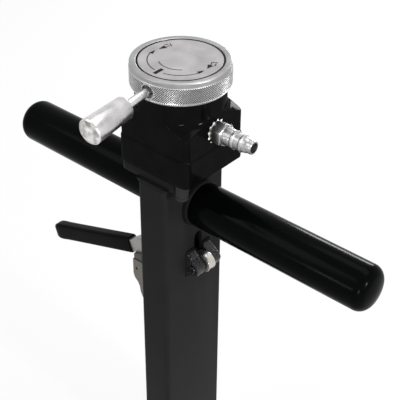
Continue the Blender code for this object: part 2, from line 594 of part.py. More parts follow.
def bearing():
    """Flanged bush that the spindle turns in, and the dust seal under the knob."""
    inner = SPINDLE_RADIUS + RUNNING_GAP
    seat = HEAD_TOP - BUSH_FLANGE_HEIGHT
    profile = [(BUSH_FLANGE_RADIUS, HEAD_TOP), (BUSH_FLANGE_RADIUS, seat), (BUSH_RADIUS, seat),
               (BUSH_RADIUS, BUSH_FOOT), (inner, BUSH_FOOT), (inner, HEAD_TOP)]
    keep("spindle_bush", turned(profile, ROUND, closed=True), BRONZE)
    foot = HEAD_TOP - DUST_SEAL_HEIGHT + GAP
    keep("dust_seal", ring(DUST_SEAL_RADIUS - DUST_SEAL_WIDTH, DUST_SEAL_RADIUS, foot,
                           HEAD_TOP + KNOB_CLEARANCE - GAP), RUBBER)


def tommy_heading():
    """Direction of the tommy handle, and the turn that takes Z to it."""
    level = math.cos(TOMMY_DROOP)
    heading = Vector((math.sin(TOMMY_TURN) * level, -math.cos(TOMMY_TURN) * level, -math.sin(TOMMY_DROOP)))
    return heading, Vector((0, 0, 1)).rotation_difference(heading)


def knob(axis):
    """Turned knob with its dial plate, screw and tommy handle."""
    top_step = KNOB_RADIUS - KNOB_BAND_STEP
    recess = KNOB_TOP - DIAL_RECESS
    hub_seat = recess - KNOB_SCREW_RADIUS - MM
    profile = [(KNOB_SCREW_RADIUS * 2 + GAP, recess), (DIAL_RADIUS + GAP, recess),
               (DIAL_RADIUS + GAP + 0.5 * DIAL_RECESS, KNOB_TOP), (top_step - KNOB_TOP_CHAMFER, KNOB_TOP),
               (top_step, KNOB_TOP - KNOB_TOP_CHAMFER), (top_step, KNOB_TOP - KNOB_TOP_BAND),
               (KNOB_RADIUS, KNOB_TOP - KNOB_TOP_BAND - KNOB_BAND_STEP),
               (KNOB_RADIUS, KNOB_FOOT + KNOB_FOOT_BAND + KNOB_BAND_STEP), (top_step, KNOB_FOOT + KNOB_FOOT_BAND),
               (top_step, KNOB_FOOT + KNOB_FOOT_CHAMFER), (top_step - KNOB_FOOT_CHAMFER, KNOB_FOOT),
               (SPINDLE_SQUARE / 2 * math.sqrt(2) + MM, KNOB_FOOT), (KNOB_SCREW_RADIUS + GAP, KNOB_FOOT + MM),
               (KNOB_SCREW_RADIUS + GAP, hub_seat), (KNOB_SCREW_RADIUS * 2 + GAP, hub_seat)]
    ring_piece = keep("knob_ring", turned(profile, LARGE_ROUND, closed=True), TURNED_ALUMINIUM, parent=axis)
    square = prism(polygon(4, SPINDLE_SQUARE + 2 * GAP), KNOB_FOOT - MM, hub_seat - 2 * MM)
    combine(ring_piece, cutter("knob_square", square, parent=axis))
    dial_foot = recess + GAP
    dial = turned([(0, dial_foot + DIAL_THICKNESS), (DIAL_RADIUS, dial_foot + DIAL_THICKNESS),
                   (DIAL_RADIUS, dial_foot), (0, dial_foot)], ROUND)
    keep("dial_plate", dial, DIAL_ALUMINIUM, parent=axis)
    screw("knob_screw", KNOB_SCREW_RADIUS, KNOB_SCREW_LENGTH, KNOB_SCREW_RADIUS * 2 - GAP, KNOB_SCREW_RADIUS,
          KNOB_SCREW_RADIUS * 0.8, KNOB_SCREW_RADIUS * 0.6, (0, 0, hub_seat + GAP),
          Matrix.Rotation(math.pi, 4, "X").to_quaternion(), axis)

    heading, turn = tommy_heading()
    rim = Vector((heading.x, heading.y, 0)).normalized() * KNOB_RADIUS + Vector((0, 0, KNOB_TOP - TOMMY_DEPTH))
    hole = [(0, MM), (TOMMY_MOUTH_RADIUS, MM), (TOMMY_MOUTH_RADIUS, -TOMMY_MOUTH_DEPTH),
            (TOMMY_ROD_RADIUS + GAP, -TOMMY_MOUTH_DEPTH), (TOMMY_ROD_RADIUS + GAP, -TOMMY_ROD_SEAT - GAP),
            (0, -TOMMY_ROD_SEAT - GAP)]
    combine(ring_piece, cutter("tommy_hole", turned(hole, SMALL_ROUND), rim, turn, axis))
    rod_end = TOMMY_ROD_FREE + TOMMY_GRIP_BORE_DEPTH - GAP
    keep("tommy_rod", rod(TOMMY_ROD_RADIUS, -TOMMY_ROD_SEAT, rod_end), PLATED_STEEL, rim, axis, turn)
    far = TOMMY_ROD_FREE + TOMMY_GRIP_LENGTH
    bore_end = TOMMY_ROD_FREE + TOMMY_GRIP_BORE_DEPTH
    near = TOMMY_ROD_FREE + TOMMY_COLLAR_LENGTH
    bevel = TOMMY_GRIP_CHAMFER
    grip = [(0, far), (TOMMY_GRIP_OUTER_RADIUS - 2 * bevel, far), (TOMMY_GRIP_OUTER_RADIUS - 0.5 * bevel, far - 0.7 * bevel),
            (TOMMY_GRIP_OUTER_RADIUS, far - 2 * bevel), (TOMMY_GRIP_INNER_RADIUS, near + bevel),
            (TOMMY_GRIP_INNER_RADIUS - bevel, near), (TOMMY_COLLAR_RADIUS, near), (TOMMY_COLLAR_RADIUS, TOMMY_ROD_FREE),
            (TOMMY_ROD_RADIUS + GAP, TOMMY_ROD_FREE), (TOMMY_ROD_RADIUS + GAP, bore_end), (0, bore_end)]
    keep("tommy_grip", turned(grip, ROUND), TURNED_ALUMINIUM, rim, axis, turn)


def spindle(axis):
    """Spindle with its collar, the square for the knob, and the cam pin across it."""
    collar_top = BUSH_FOOT - GAP - GAP
    collar_foot = collar_top - SPINDLE_COLLAR_HEIGHT
    foot = HEAD_FOOT + SPINDLE_FOOT
    square_foot = HEAD_TOP + GAP
    square_top = KNOB_TOP - DIAL_RECESS - KNOB_SCREW_RADIUS - 3 * MM - GAP
    profile = [(0, square_foot), (SPINDLE_RADIUS, square_foot), (SPINDLE_RADIUS, collar_top),
               (SPINDLE_COLLAR_RADIUS, collar_top), (SPINDLE_COLLAR_RADIUS, collar_foot),
               (SPINDLE_RADIUS, collar_foot), (SPINDLE_RADIUS, foot + MM), (SPINDLE_RADIUS - MM, foot), (0, foot)]
    shaft = keep("spindle", turned(profile, 24), BARE_STEEL, parent=axis)
    square = prism(polygon(4, SPINDLE_SQUARE), square_foot - MM, square_top)
    combine(shaft, cutter("spindle_square", square, parent=axis), "UNION")
    tapped = rod(KNOB_SCREW_RADIUS + GAP, KNOB_TOP - DIAL_RECESS - KNOB_SCREW_RADIUS - MM - KNOB_SCREW_LENGTH - GAP,
                 KNOB_TOP)
    combine(shaft, cutter("spindle_thread", tapped, parent=axis))
    cross = rod(CAM_PIN_RADIUS + GAP, -2 * SPINDLE_RADIUS, 2 * SPINDLE_RADIUS)
    combine(shaft, cutter("cam_pin_hole", cross, (0, 0, CAM_PIN_Z), ALONG_Y, axis))
    reach = SLEEVE_RADIUS - MM
    keep("cam_pin", rod(CAM_PIN_RADIUS, -reach, reach), BARE_STEEL, (0, 0, CAM_PIN_Z), axis, ALONG_Y)
    coil_top = collar_foot - GAP
    coil("centring_spring", COIL_RADIUS, COIL_WIRE, COIL_TURNS, coil_top - COIL_TURNS * COIL_PITCH - COIL_WIRE,
         coil_top, BARE_STEEL, axis)


def cam_slot():
    """Helical slot body, a quarter turn from X, that the cam pin runs in."""
    reach = CAM_TURN + CAM_SLOT_SPARE
    inner = SPINDLE_RADIUS - MM
    outer = SLEEVE_RADIUS + MM
    sections = []
    for step in range(17):
        turn = reach * (step / 8 - 1)
        around = Vector((math.cos(turn + math.pi / 2), math.sin(turn + math.pi / 2), 0))
        middle = CAM_PIN_Z + CAM_LEAD * turn
        low, high = middle - CAM_SLOT_HALF, middle + CAM_SLOT_HALF
        sections.append([around * inner + Vector((0, 0, low)), around * outer + Vector((0, 0, low)),
                         around * outer + Vector((0, 0, high)), around * inner + Vector((0, 0, high))])
    return loft(sections)


def carriage(axis):
    """Cam sleeve with two helical slots, the control rod and the valve spool that it carries."""
    shapes = dict(arm_shapes(0, ARM_FOOT, SLEEVE_FOOT))
    sleeve = keep("cam_sleeve", shapes.pop("hub"), BARE_STEEL, parent=axis)
    for tag, shape in shapes.items():
        combine(sleeve, cutter("sleeve_" + tag, shape), "UNION")
    sleeve_top = CAM_PIN_Z + SLEEVE_HALF
    combine(sleeve, cutter("sleeve_body", rod(SLEEVE_RADIUS, ARM_FOOT + MM, sleeve_top, ROUND)), "UNION")
    bore = rod(SPINDLE_RADIUS + RUNNING_GAP, ARM_FOOT - MM, sleeve_top + MM, 24)
    combine(sleeve, cutter("sleeve_bore", bore))
    for index in range(2):
        turn = Matrix.Rotation(math.pi * index, 4, "Z").to_quaternion()
        combine(sleeve, cutter("cam_slot_%d" % index, cam_slot(), turn=turn))
    rod_hole = rod(CONTROL_ROD_RADIUS + GAP, ARM_FOOT - MM, SLEEVE_FOOT + MM)
    combine(sleeve, cutter("rod_hole", rod_hole, (0, -CONTROL_ROD_OFFSET, 0)))
    stud = SPOOL_RADIUS / 2
    stud_hole = rod(stud + GAP, ARM_FOOT - MM, SLEEVE_FOOT + MM)
    combine(sleeve, cutter("stud_hole", stud_hole, (SPOOL_OFFSET, 0, 0)))

    at = (0, -CONTROL_ROD_OFFSET, 0)
    keep("control_rod", rod(CONTROL_ROD_RADIUS, ROD_FOOT, SLEEVE_FOOT, 20), BARE_STEEL, at, axis)
    nut = keep("control_rod_nut", prism(polygon(6, CONTROL_NUT_FLATS), ARM_FOOT - GAP - CONTROL_NUT_HEIGHT,
                                        ARM_FOOT - GAP), PLATED_STEEL, at, axis)
    nut_bore = rod(CONTROL_ROD_RADIUS + GAP, ARM_FOOT - 2 * CONTROL_NUT_HEIGHT, ARM_FOOT, 20)
    combine(nut, cutter("nut_bore", nut_bore, at, parent=axis))
    foot = SLEEVE_FOOT + GAP
    top = foot + SPOOL_LENGTH
    land = SPOOL_LENGTH / 4
    profile = [(0, top), (SPOOL_RADIUS - 0.5 * MM, top), (SPOOL_RADIUS, top - 0.5 * MM), (SPOOL_RADIUS, top - land),
               (SPOOL_GROOVE_RADIUS, top - land), (SPOOL_GROOVE_RADIUS, top - 2 * land), (SPOOL_RADIUS, top - 2 * land),
               (SPOOL_RADIUS, foot), (stud, foot), (stud, ARM_FOOT), (0, ARM_FOOT)]
    keep("valve_spool", turned(profile, SMALL_ROUND), BARE_STEEL, (SPOOL_OFFSET, 0, 0), axis)


def air_inlet():
    """Male coupling plug for the air line, on its sealing washer in the head's side."""
    face = HEAD_SIZE / 2 - FLANGE_STEP
    at = (face + GAP, 0, HEAD_FOOT + INLET_HEIGHT)
    keep("inlet_washer", ring(INLET_THREAD_RADIUS + GAP, WASHER_RADIUS, 0, WASHER_THICKNESS, ROUND), PLATED_STEEL,
         at, turn=ALONG_X)
    seat = WASHER_THICKNESS + GAP
    hexagon = seat + INLET_HEX_LENGTH
    tip = seat + INLET_LENGTH
    fat = INLET_HEX_FLATS / 2 - 0.9 * MM
    slim = INLET_TIP_RADIUS + 0.8 * MM
    run = tip - hexagon
    profile = [(INLET_BORE_RADIUS, tip), (INLET_TIP_RADIUS - 0.4 * MM, tip), (INLET_TIP_RADIUS, tip - 0.5 * MM),
               (INLET_TIP_RADIUS, tip - 0.16 * run), (slim, tip - 0.26 * run), (slim, tip - 0.32 * run),
               (slim + 0.9 * MM, tip - 0.35 * run), (slim + 0.9 * MM, tip - 0.40 * run),
               (slim + 0.2 * MM, tip - 0.43 * run), (slim + 0.4 * MM, tip - 0.60 * run),
               (fat, tip - 0.63 * run), (fat, tip - 0.70 * run), (fat - 0.7 * MM, tip - 0.73 * run),
               (fat, hexagon + 0.12 * run), (fat, hexagon - MM), (INLET_THREAD_RADIUS, hexagon - MM),
               (INLET_THREAD_RADIUS, GAP - INLET_THREAD_LENGTH), (INLET_PASSAGE_RADIUS, GAP - INLET_THREAD_LENGTH),
               (INLET_PASSAGE_RADIUS, tip - INLET_BORE_DEPTH), (INLET_BORE_RADIUS, tip - INLET_BORE_DEPTH)]
    plug = keep("air_inlet", turned(profile, 20, closed=True), PLATED_STEEL, at, turn=ALONG_X)
    corner = INLET_HEX_FLATS / 2 / math.cos(math.pi / 6)
    bevel = [(INLET_THREAD_RADIUS - MM, hexagon + MM), (INLET_HEX_FLATS / 2 - 2 * MM, hexagon + MM),
             (corner + MM, hexagon - 0.6 * (corner + MM - INLET_HEX_FLATS / 2)), (corner + MM, seat - MM),
             (INLET_THREAD_RADIUS - MM, seat - MM)]
    nut = cutter("inlet_hexagon", prism(polygon(6, INLET_HEX_FLATS), seat, hexagon), at, ALONG_X)
    combine(nut, cutter("inlet_hex_bevel", turned(bevel, 20, closed=True), at, ALONG_X), "INTERSECT")
    combine(plug, nut, "UNION")


def outlet_and_hose():
    """Outlet union under the head, the hose down the column and the fitting at its foot."""
    at = (0, HOSE_OFFSET, 0)
    stud = OUTLET_PORT_RADIUS - GAP
    hex_top = HEAD_FOOT - GAP
    hex_foot = hex_top - OUTLET_HEX_LENGTH
    union = keep("outlet_union", prism(polygon(6, OUTLET_HEX_FLATS), hex_foot, hex_top), BRONZE, at)
    combine(union, cutter("outlet_stud", rod(stud, hex_top - MM, HEAD_FOOT + OUTLET_STUD_LENGTH), at), "UNION")
    fitting_top = HOSE_FITTING_FOOT + HOSE_FITTING_LENGTH
    keep("air_hose", rod(HOSE_RADIUS, fitting_top + GAP, hex_foot - GAP), RUBBER, at)
    slim = HOSE_RADIUS * 0.7
    body = fitting_top - 0.35 * HOSE_FITTING_LENGTH
    flats = prism(polygon(6, 2 * HOSE_RADIUS + MM), HOSE_FITTING_FOOT + 0.45 * HOSE_FITTING_LENGTH, body)
    profile = [(0, fitting_top), (HOSE_RADIUS, fitting_top), (HOSE_RADIUS, body), (slim, body - MM),
               (slim, HOSE_FITTING_FOOT + 0.5 * MM), (slim - 0.5 * MM, HOSE_FITTING_FOOT), (0, HOSE_FITTING_FOOT)]
    fitting = keep("hose_fitting", turned(profile, SMALL_ROUND), BRONZE, at)
    combine(fitting, cutter("fitting_flats", flats, at), "UNION")


def t_bar():
    """Cross tube through the column, with a collar and a grip on each side."""
    at = (0, SIDE_PLANE, BAR_Z)
    reach = GRIP_REACH - BAR_SHORTFALL
    keep("crossbar_tube", ring(BAR_RADIUS - BAR_WALL, BAR_RADIUS, -reach, reach, ROUND), BARE_STEEL, at, turn=ALONG_X)
    collar_foot = FACE_X + GAP
    grip_foot = collar_foot + COLLAR_THICKNESS + GAP
    bore = BAR_RADIUS + GAP
    wall = reach + GAP
    collar = [(COLLAR_RADIUS - COLLAR_ROUND, collar_foot + COLLAR_THICKNESS),
              (COLLAR_RADIUS, collar_foot + COLLAR_THICKNESS - COLLAR_ROUND), (COLLAR_RADIUS, collar_foot),
              (bore, collar_foot), (bore, collar_foot + COLLAR_THICKNESS)]
    grip = [(0, GRIP_REACH)]
    for step in range(5):
        angle = math.radians(90) * step / 4
        grip.append((GRIP_RADIUS - GRIP_END_ROUND * (1 - math.sin(angle)),
                     GRIP_REACH - GRIP_END_ROUND * (1 - math.cos(angle))))
    grip += [(GRIP_RADIUS, grip_foot + GRIP_ROOT_ROUND), (GRIP_RADIUS - GRIP_ROOT_ROUND, grip_foot),
             (bore, grip_foot), (bore, wall), (0, wall)]
    for name, side in (("right", 1), ("left", -1)):
        turn = Vector((0, 0, 1)).rotation_difference(Vector((side, 0, 0)))
        keep("grip_collar_" + name, turned(collar, ROUND, closed=True), PAINTED_STEEL, at, turn=turn)
        keep("grip_" + name, turned(grip, ROUND), GRIP_PLASTIC, at, turn=turn)


def pivot_ears():
    """Two welded ears on the column's front face and the hollow pin through them."""
    root = FACE_X + GAP - PIVOT_X
    outline = [Vector((root, EAR_RISE))]
    for step in range(9):
        angle = math.radians(65 - 145 * step / 8)
        outline.append(Vector((math.cos(angle), math.sin(angle))) * EAR_RADIUS)
    outline.append(Vector((root, -EAR_FALL)))
    inside = LEVER_WIDTH / 2 + SLOT_SPARE
    for name, foot, top in (("front", inside, inside + EAR_THICKNESS), ("rear", -inside - EAR_THICKNESS, -inside)):
        ear = keep("pivot_ear_" + name, prism(outline, foot, top), PAINTED_STEEL, (PIVOT_X, SIDE_PLANE, PIVOT_Z),
                   turn=SIDEWAYS)
        bevel = ear.modifiers.new("edges", "BEVEL")
        bevel.width = EAR_BEVEL
        bevel.segments = 2
        bevel.limit_method = "ANGLE"
        bevel.angle_limit = math.radians(60)
        hole = rod(PIVOT_PIN_RADIUS + GAP, foot - MM, top + MM)
        combine(ear, cutter("ear_hole_" + name, hole, (PIVOT_X, SIDE_PLANE, PIVOT_Z), SIDEWAYS))
    half = PIVOT_PIN_LENGTH / 2
    keep("pivot_pin", ring(PIVOT_PIN_BORE, PIVOT_PIN_RADIUS, -half, half, SMALL_ROUND), BARE_STEEL,
         (PIVOT_X, SIDE_PLANE, PIVOT_Z), turn=SIDEWAYS)


def lever_line(reach):
    """Point on the lever's top line at a distance reach behind the pivot, relative to the pivot."""
    start = LEVER_SLOPE + math.pi / 2
    touch = Vector((math.cos(start), math.sin(start))) * LEVER_NOSE_RADIUS
    return Vector((-reach, touch.y - (reach + touch.x) * math.tan(LEVER_SLOPE)))


def lever_down():
    """Direction square to the lever's top line, towards its open side."""
    return Vector((math.sin(LEVER_SLOPE), -math.cos(LEVER_SLOPE)))


def channel_section(top, foot, width):
    """U section between a point on the web and one on the cheeks' lower edge, open downwards."""
    down = (foot - top).normalized()
    inner = top + down * LEVER_SHEET
    half, slim = width / 2, width / 2 - LEVER_SHEET
    row = [(top, half), (top, -half), (foot, -half), (foot, -slim), (inner, -slim), (inner, slim), (foot, slim),
           (foot, half)]
    return [Vector((point.x, side, point.y)) for point, side in row]


def lever_sections():
    """Sections of the folded lever from the cut end of its nose to the end of its tang."""
    down = lever_down()
    belly = EAR_RADIUS * 1.1
    sections = []
    for step in range(7):
        share = step / 6
        angle = (LEVER_SLOPE + math.pi / 2) * share
        top = Vector((math.cos(angle), math.sin(angle))) * LEVER_NOSE_RADIUS
        low = math.radians(-25) - (math.radians(65) - LEVER_SLOPE) * share
        foot = Vector((math.cos(low), math.sin(low))) * (belly + (LEVER_NOSE_RADIUS * 0.9 - belly) * (1 - share))
        sections.append(channel_section(top, foot, LEVER_WIDTH))
    behind = PIVOT_X + FACE_X
    mouth = LEVER_ROOT_REACH
    # reach, the top edge's rise over the lever's line, and the lower edge's depth under it
    stations = [(PIVOT_X, 0, LEVER_CHEEK_DEPTH), (behind, 0, LEVER_CHEEK_DEPTH),
                (mouth - LEVER_ROOT_LENGTH, 0, LEVER_ROOT_DEPTH),
                (mouth - 1.3 * LEVER_CROWN_LENGTH, 0.7 * LEVER_CROWN, LEVER_ROOT_DEPTH),
                (mouth - LEVER_CROWN_LENGTH, LEVER_CROWN, LEVER_ROOT_DEPTH),
                (mouth - 0.7 * LEVER_CROWN_LENGTH, 0.8 * LEVER_CROWN, LEVER_ROOT_DEPTH),
                (mouth - 0.2 * LEVER_CROWN_LENGTH, 0, LEVER_ROOT_DEPTH),
                (mouth + LEVER_TANG_LENGTH, 0, LEVER_ROOT_DEPTH)]
    for reach, rise, depth in stations:
        top = lever_line(reach)
        sections.append(channel_section(top - down * rise, top + down * depth, LEVER_WIDTH))
    return sections


def lever(axis):
    """Folded steel lever and its moulded grip; at rest its cheeks lie on the stop pad."""
    at = axis.location
    arm = keep("lever_channel", loft(lever_sections()), PLATED_STEEL, at, axis)
    hole = rod(PIVOT_PIN_RADIUS + RUNNING_GAP, -LEVER_WIDTH, LEVER_WIDTH)
    combine(arm, cutter("lever_pivot_hole", hole, at, SIDEWAYS, axis))
    slip = (PIVOT_X - LATCH_X) * (1 - math.cos(LEVER_LIFT))
    radius = LATCH_PIN_RADIUS + LATCH_SLOT_SPARE
    pin = (LATCH_X - PIVOT_X, -LATCH_PIN_DROP)
    slot = prism(capsule(pin, (pin[0] + slip, pin[1]), radius), -LEVER_WIDTH, LEVER_WIDTH)
    combine(arm, cutter("latch_slot", slot, at, SIDEWAYS, axis))

    down = lever_down()
    start = lever_line(LEVER_ROOT_REACH) + down * (LEVER_ROOT_DEPTH / 2)
    heading = Vector((-math.cos(LEVER_GRIP_BEND), -math.sin(LEVER_GRIP_BEND)))
    upright = Vector((heading.y, -heading.x))
    width = LEVER_WIDTH + 2 * LEVER_GRIP_SIDE
    height = LEVER_ROOT_DEPTH + 2 * LEVER_GRIP_CROWN
    # share of the length, then the width and height there as shares of the full section
    shape = [(0, 0.95, 0.96), (0.012, 1.0, 1.0), (0.3, 1.0, 1.0), (0.6, 1.0, 1.0), (0.84, 1.0, 1.01), (0.92, 1.04, 1.04),
             (0.96, 0.99, 0.97), (0.982, 0.86, 0.84), (0.995, 0.6, 0.62), (1.0, 0.35, 0.38)]
    sections = []
    for share, wide, high in shape:
        centre = start + heading * LEVER_GRIP_LENGTH * share
        section = []
        for across, rise in rounded(width * wide, height * high, LEVER_GRIP_CORNER * min(wide, high), 3):
            point = centre + upright * rise
            section.append(Vector((point.x, across, point.y)))
        sections.append(section)
    grip = keep("lever_grip", loft(sections), GRIP_PLASTIC, at, axis, smooth=60)
    pocket = []
    half = LEVER_WIDTH / 2 + GAP
    for reach in (LEVER_ROOT_REACH - 4 * MM, LEVER_ROOT_REACH + LEVER_TANG_LENGTH + GAP):
        top = lever_line(reach) - down * GAP
        foot = top + down * (LEVER_ROOT_DEPTH + 2 * GAP)
        pocket.append([Vector((point.x, side, point.y)) for point, side in
                       ((top, half), (top, -half), (foot, -half), (foot, half))])
    combine(grip, cutter("tang_pocket", loft(pocket), at, parent=axis))


def bracket():
    """Folded bracket on the column's back that the lever rests on, its screws and the rubber stop."""
    shelf = COLUMN_LENGTH - BRACKET_DROP
    face = -FACE_X - GAP
    tip = face - BRACKET_REACH
    low = shelf - BRACKET_HEIGHT
    lip = shelf - BRACKET_LIP_HEIGHT
    # side outline as X and height, from the shelf's root round the S-shaped lower edge
    outline = [(face, shelf), (tip, shelf), (tip, lip), (tip + 1.5 * MM, lip - 4 * MM), (tip + 5.5 * MM, lip - 8 * MM),
               (tip + 7.5 * MM, lip - 12 * MM), (tip + 8.5 * MM, lip - 18 * MM), (tip + 12 * MM, lip - 25 * MM),
               (tip + 20 * MM, lip - 32 * MM), (face - 2 * BRACKET_SHEET, low), (face, low)]
    half = BRACKET_WIDTH / 2
    at = (0, SIDE_PLANE, 0)
    plate = keep("lever_bracket", prism([Vector(point) for point in outline], -half, half), PLATED_STEEL, at,
                 turn=SIDEWAYS)
    hollow = [(face - BRACKET_SHEET, shelf - BRACKET_SHEET), (tip - MM, shelf - BRACKET_SHEET), (tip - MM, low - MM),
              (face - BRACKET_SHEET, low - MM)]
    inside = half - BRACKET_SHEET
    combine(plate, cutter("bracket_hollow", prism([Vector(point) for point in hollow], -inside, inside), at, SIDEWAYS))
    eye = (tip + BRACKET_HOLE_INSET, SIDE_PLANE, shelf - BRACKET_HOLE_DROP)
    combine(plate, cutter("bracket_eye", rod(BRACKET_HOLE_RADIUS, -BRACKET_WIDTH, BRACKET_WIDTH), eye, SIDEWAYS))
    for index, step in enumerate((0.5, -0.5)):
        place = (face - BRACKET_SHEET - GAP, SIDE_PLANE, GUIDE_MIDDLE + step * GUIDE_SCREW_PITCH)
        hole = rod(GUIDE_SCREW_RADIUS + GAP, -BRACKET_SHEET, 2 * BRACKET_SHEET)
        combine(plate, cutter("bracket_hole_%d" % index, hole, place, ALONG_X))
        screw("bracket_screw_%d" % (index + 1), GUIDE_SCREW_RADIUS, GUIDE_SCREW_LENGTH + BRACKET_SHEET,
              GUIDE_SCREW_CAP, GUIDE_SCREW_CAP_HEIGHT, GUIDE_SCREW_RADIUS * 0.7, GUIDE_SCREW_CAP_HEIGHT / 2,
              place, ALONG_X)
    foot = shelf + GAP
    seat = PIVOT_Z + (LEVER_NOSE_RADIUS - LEVER_ROOT_DEPTH - GAP) / math.cos(LEVER_SLOPE)
    wedge = []
    for x in (tip + STOP_PAD_INSET, tip + STOP_PAD_INSET + STOP_PAD_LENGTH):
        wedge.append((Vector((x, foot)), Vector((x, seat + (x - PIVOT_X) * math.tan(LEVER_SLOPE)))))
    (far_foot, far_top), (near_foot, near_top) = wedge
    keep("stop_pad", prism([far_foot, near_foot, near_top, far_top], -STOP_PAD_WIDTH / 2, STOP_PAD_WIDTH / 2), RUBBER,
         at, turn=SIDEWAYS)


def guides():
    """Nylon blocks in the column that guide both rods and hold the hose."""
    outline = rounded(COLUMN_WIDTH - 2 * COLUMN_WALL - 2 * GAP, COLUMN_DEPTH - 2 * COLUMN_WALL - 2 * GAP,
                      COLUMN_CORNER - COLUMN_WALL)
    blocks = (("rod_guide", GUIDE_FOOT, GUIDE_HEIGHT, GUIDE_SCREW_PITCH),
              ("foot_guide", FOOT_GUIDE_FOOT, FOOT_GUIDE_HEIGHT, 0))
    for name, foot, height, pitch in blocks:
        block = keep(name, prism(outline, foot, foot + height), NYLON)
        bores = (((0, -CONTROL_ROD_OFFSET), CONTROL_ROD_RADIUS + RUNNING_GAP),
                 ((LATCH_X, SIDE_PLANE), LATCH_ROD_RADIUS + RUNNING_GAP), ((0, HOSE_OFFSET), HOSE_RADIUS + GAP))
        for index, ((x, y), radius) in enumerate(bores):
            bore = rod(radius, foot - MM, foot + height + MM)
            combine(block, cutter("%s_bore_%d" % (name, index), bore, (x, y, 0)))
        depth = GUIDE_SCREW_LENGTH - COLUMN_WALL
        for step in ((-0.5, 0.5) if pitch else (0,)):
            place = (COLUMN_WALL - FACE_X, SIDE_PLANE, foot + height / 2 + step * pitch)
            hole = rod(GUIDE_SCREW_RADIUS + GAP, -MM, depth - 2 * GAP)
            combine(block, cutter(name + "_screw_hole", hole, place, ALONG_X))
    screw("foot_guide_screw", GUIDE_SCREW_RADIUS, GUIDE_SCREW_LENGTH - 2 * GAP, GUIDE_SCREW_CAP,
          GUIDE_SCREW_CAP_HEIGHT, GUIDE_SCREW_RADIUS * 0.7, GUIDE_SCREW_CAP_HEIGHT / 2,
          (-FACE_X - GAP, SIDE_PLANE, FOOT_GUIDE_MIDDLE), ALONG_X)


def latch(axis):
    """Latch rod with its cross pin in the lever, and the return spring between its collar and the guide."""
    at = axis.location
    top = LATCH_PIN_Z + LATCH_ROD_TOP
    bar = keep("latch_rod", rod(LATCH_ROD_RADIUS, ROD_FOOT - at.z, top - at.z, 20), BARE_STEEL, at, axis)
    cross = rod(LATCH_PIN_RADIUS * 0.6 + GAP, -LATCH_PIN_LENGTH, LATCH_PIN_LENGTH, 16)
    combine(bar, cutter("latch_pin_hole", cross, (at.x, at.y, LATCH_PIN_Z), SIDEWAYS, axis))
    half = LATCH_PIN_LENGTH / 2
    waist = LATCH_ROD_RADIUS + GAP
    slim = LATCH_PIN_RADIUS * 0.6
    profile = [(0, half), (LATCH_PIN_RADIUS, half), (LATCH_PIN_RADIUS, waist), (slim, waist), (slim, -waist),
               (LATCH_PIN_RADIUS, -waist), (LATCH_PIN_RADIUS, -half), (0, -half)]
    keep("latch_pin", turned(profile, 16), BARE_STEEL, (at.x, at.y, LATCH_PIN_Z), axis, SIDEWAYS)
    spring_top = GUIDE_FOOT - GAP
    spring_foot = spring_top - SPRING_LENGTH
    collar_top = spring_foot - GAP
    collar = ring(LATCH_ROD_RADIUS + GAP, SPRING_COLLAR_RADIUS, collar_top - SPRING_COLLAR_HEIGHT - at.z,
                  collar_top - at.z, SMALL_ROUND)
    keep("spring_collar", collar, BARE_STEEL, at, axis)
    coil("latch_spring", SPRING_RADIUS, SPRING_WIRE, SPRING_TURNS, spring_foot - at.z, spring_top - at.z,
         BARE_STEEL, axis, at)


knob_axis = axis_empty("knob_axis", (0, 0, 0))
carriage_axis = axis_empty("carriage_axis", (0, 0, 0))
lever_axis = axis_empty("lever_axis", (PIVOT_X, SIDE_PLANE, PIVOT_Z))
latch_axis = axis_empty("latch_axis", (LATCH_X, SIDE_PLANE, LATCH_PIN_Z))

column()
top_plate()
head()
exhaust_silencer()
bearing()
knob(knob_axis)
spindle(knob_axis)
carriage(carriage_axis)
air_inlet()
outlet_and_hose()
t_bar()
pivot_ears()
lever(lever_axis)
bracket()
guides()
latch(latch_axis)
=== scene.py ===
# %% [markdown]
# # The head of a floor jack's control handle
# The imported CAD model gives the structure, the sizes and the joints. This lesson gives it its looks. Each visible
# CAD node is either dressed in a new material or replaced by a finer piece in the same place. All sizes are in
# metres, +Z runs up the column, and X runs along the T-bar.
# %% Load the frame
import json
import math

import bpy
from mathutils import Matrix, Vector


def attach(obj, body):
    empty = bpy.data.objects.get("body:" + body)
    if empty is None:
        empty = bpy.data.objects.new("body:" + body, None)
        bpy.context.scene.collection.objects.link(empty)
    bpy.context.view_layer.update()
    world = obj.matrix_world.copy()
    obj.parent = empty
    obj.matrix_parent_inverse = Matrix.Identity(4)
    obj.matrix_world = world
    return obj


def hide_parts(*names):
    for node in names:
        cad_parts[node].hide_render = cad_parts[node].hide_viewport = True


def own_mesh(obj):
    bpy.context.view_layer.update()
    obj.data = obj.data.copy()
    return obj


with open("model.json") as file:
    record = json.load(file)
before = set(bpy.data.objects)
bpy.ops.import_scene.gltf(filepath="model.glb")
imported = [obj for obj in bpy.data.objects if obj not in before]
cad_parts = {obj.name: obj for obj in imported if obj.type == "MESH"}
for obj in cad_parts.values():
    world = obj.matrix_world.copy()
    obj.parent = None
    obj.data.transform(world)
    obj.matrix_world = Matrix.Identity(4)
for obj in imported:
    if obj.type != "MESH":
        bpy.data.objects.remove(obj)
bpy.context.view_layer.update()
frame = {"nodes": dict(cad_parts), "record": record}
MM = 0.001

# %% [markdown]
# Blender's operators act on whatever is selected. The loader leaves the CAD nodes selected, so the first helper
# puts everything down and the second one picks up a single piece. A person does the same with a click.
# %% Helpers that select


def put_down():
    if bpy.context.mode != "OBJECT":
        bpy.ops.object.mode_set(mode="OBJECT")
    bpy.ops.object.select_all(action="DESELECT")


def pick_up(piece, edit=False):
    put_down()
    piece.select_set(True)
    bpy.context.view_layer.objects.active = piece
    if edit:
        bpy.ops.object.mode_set(mode="EDIT")


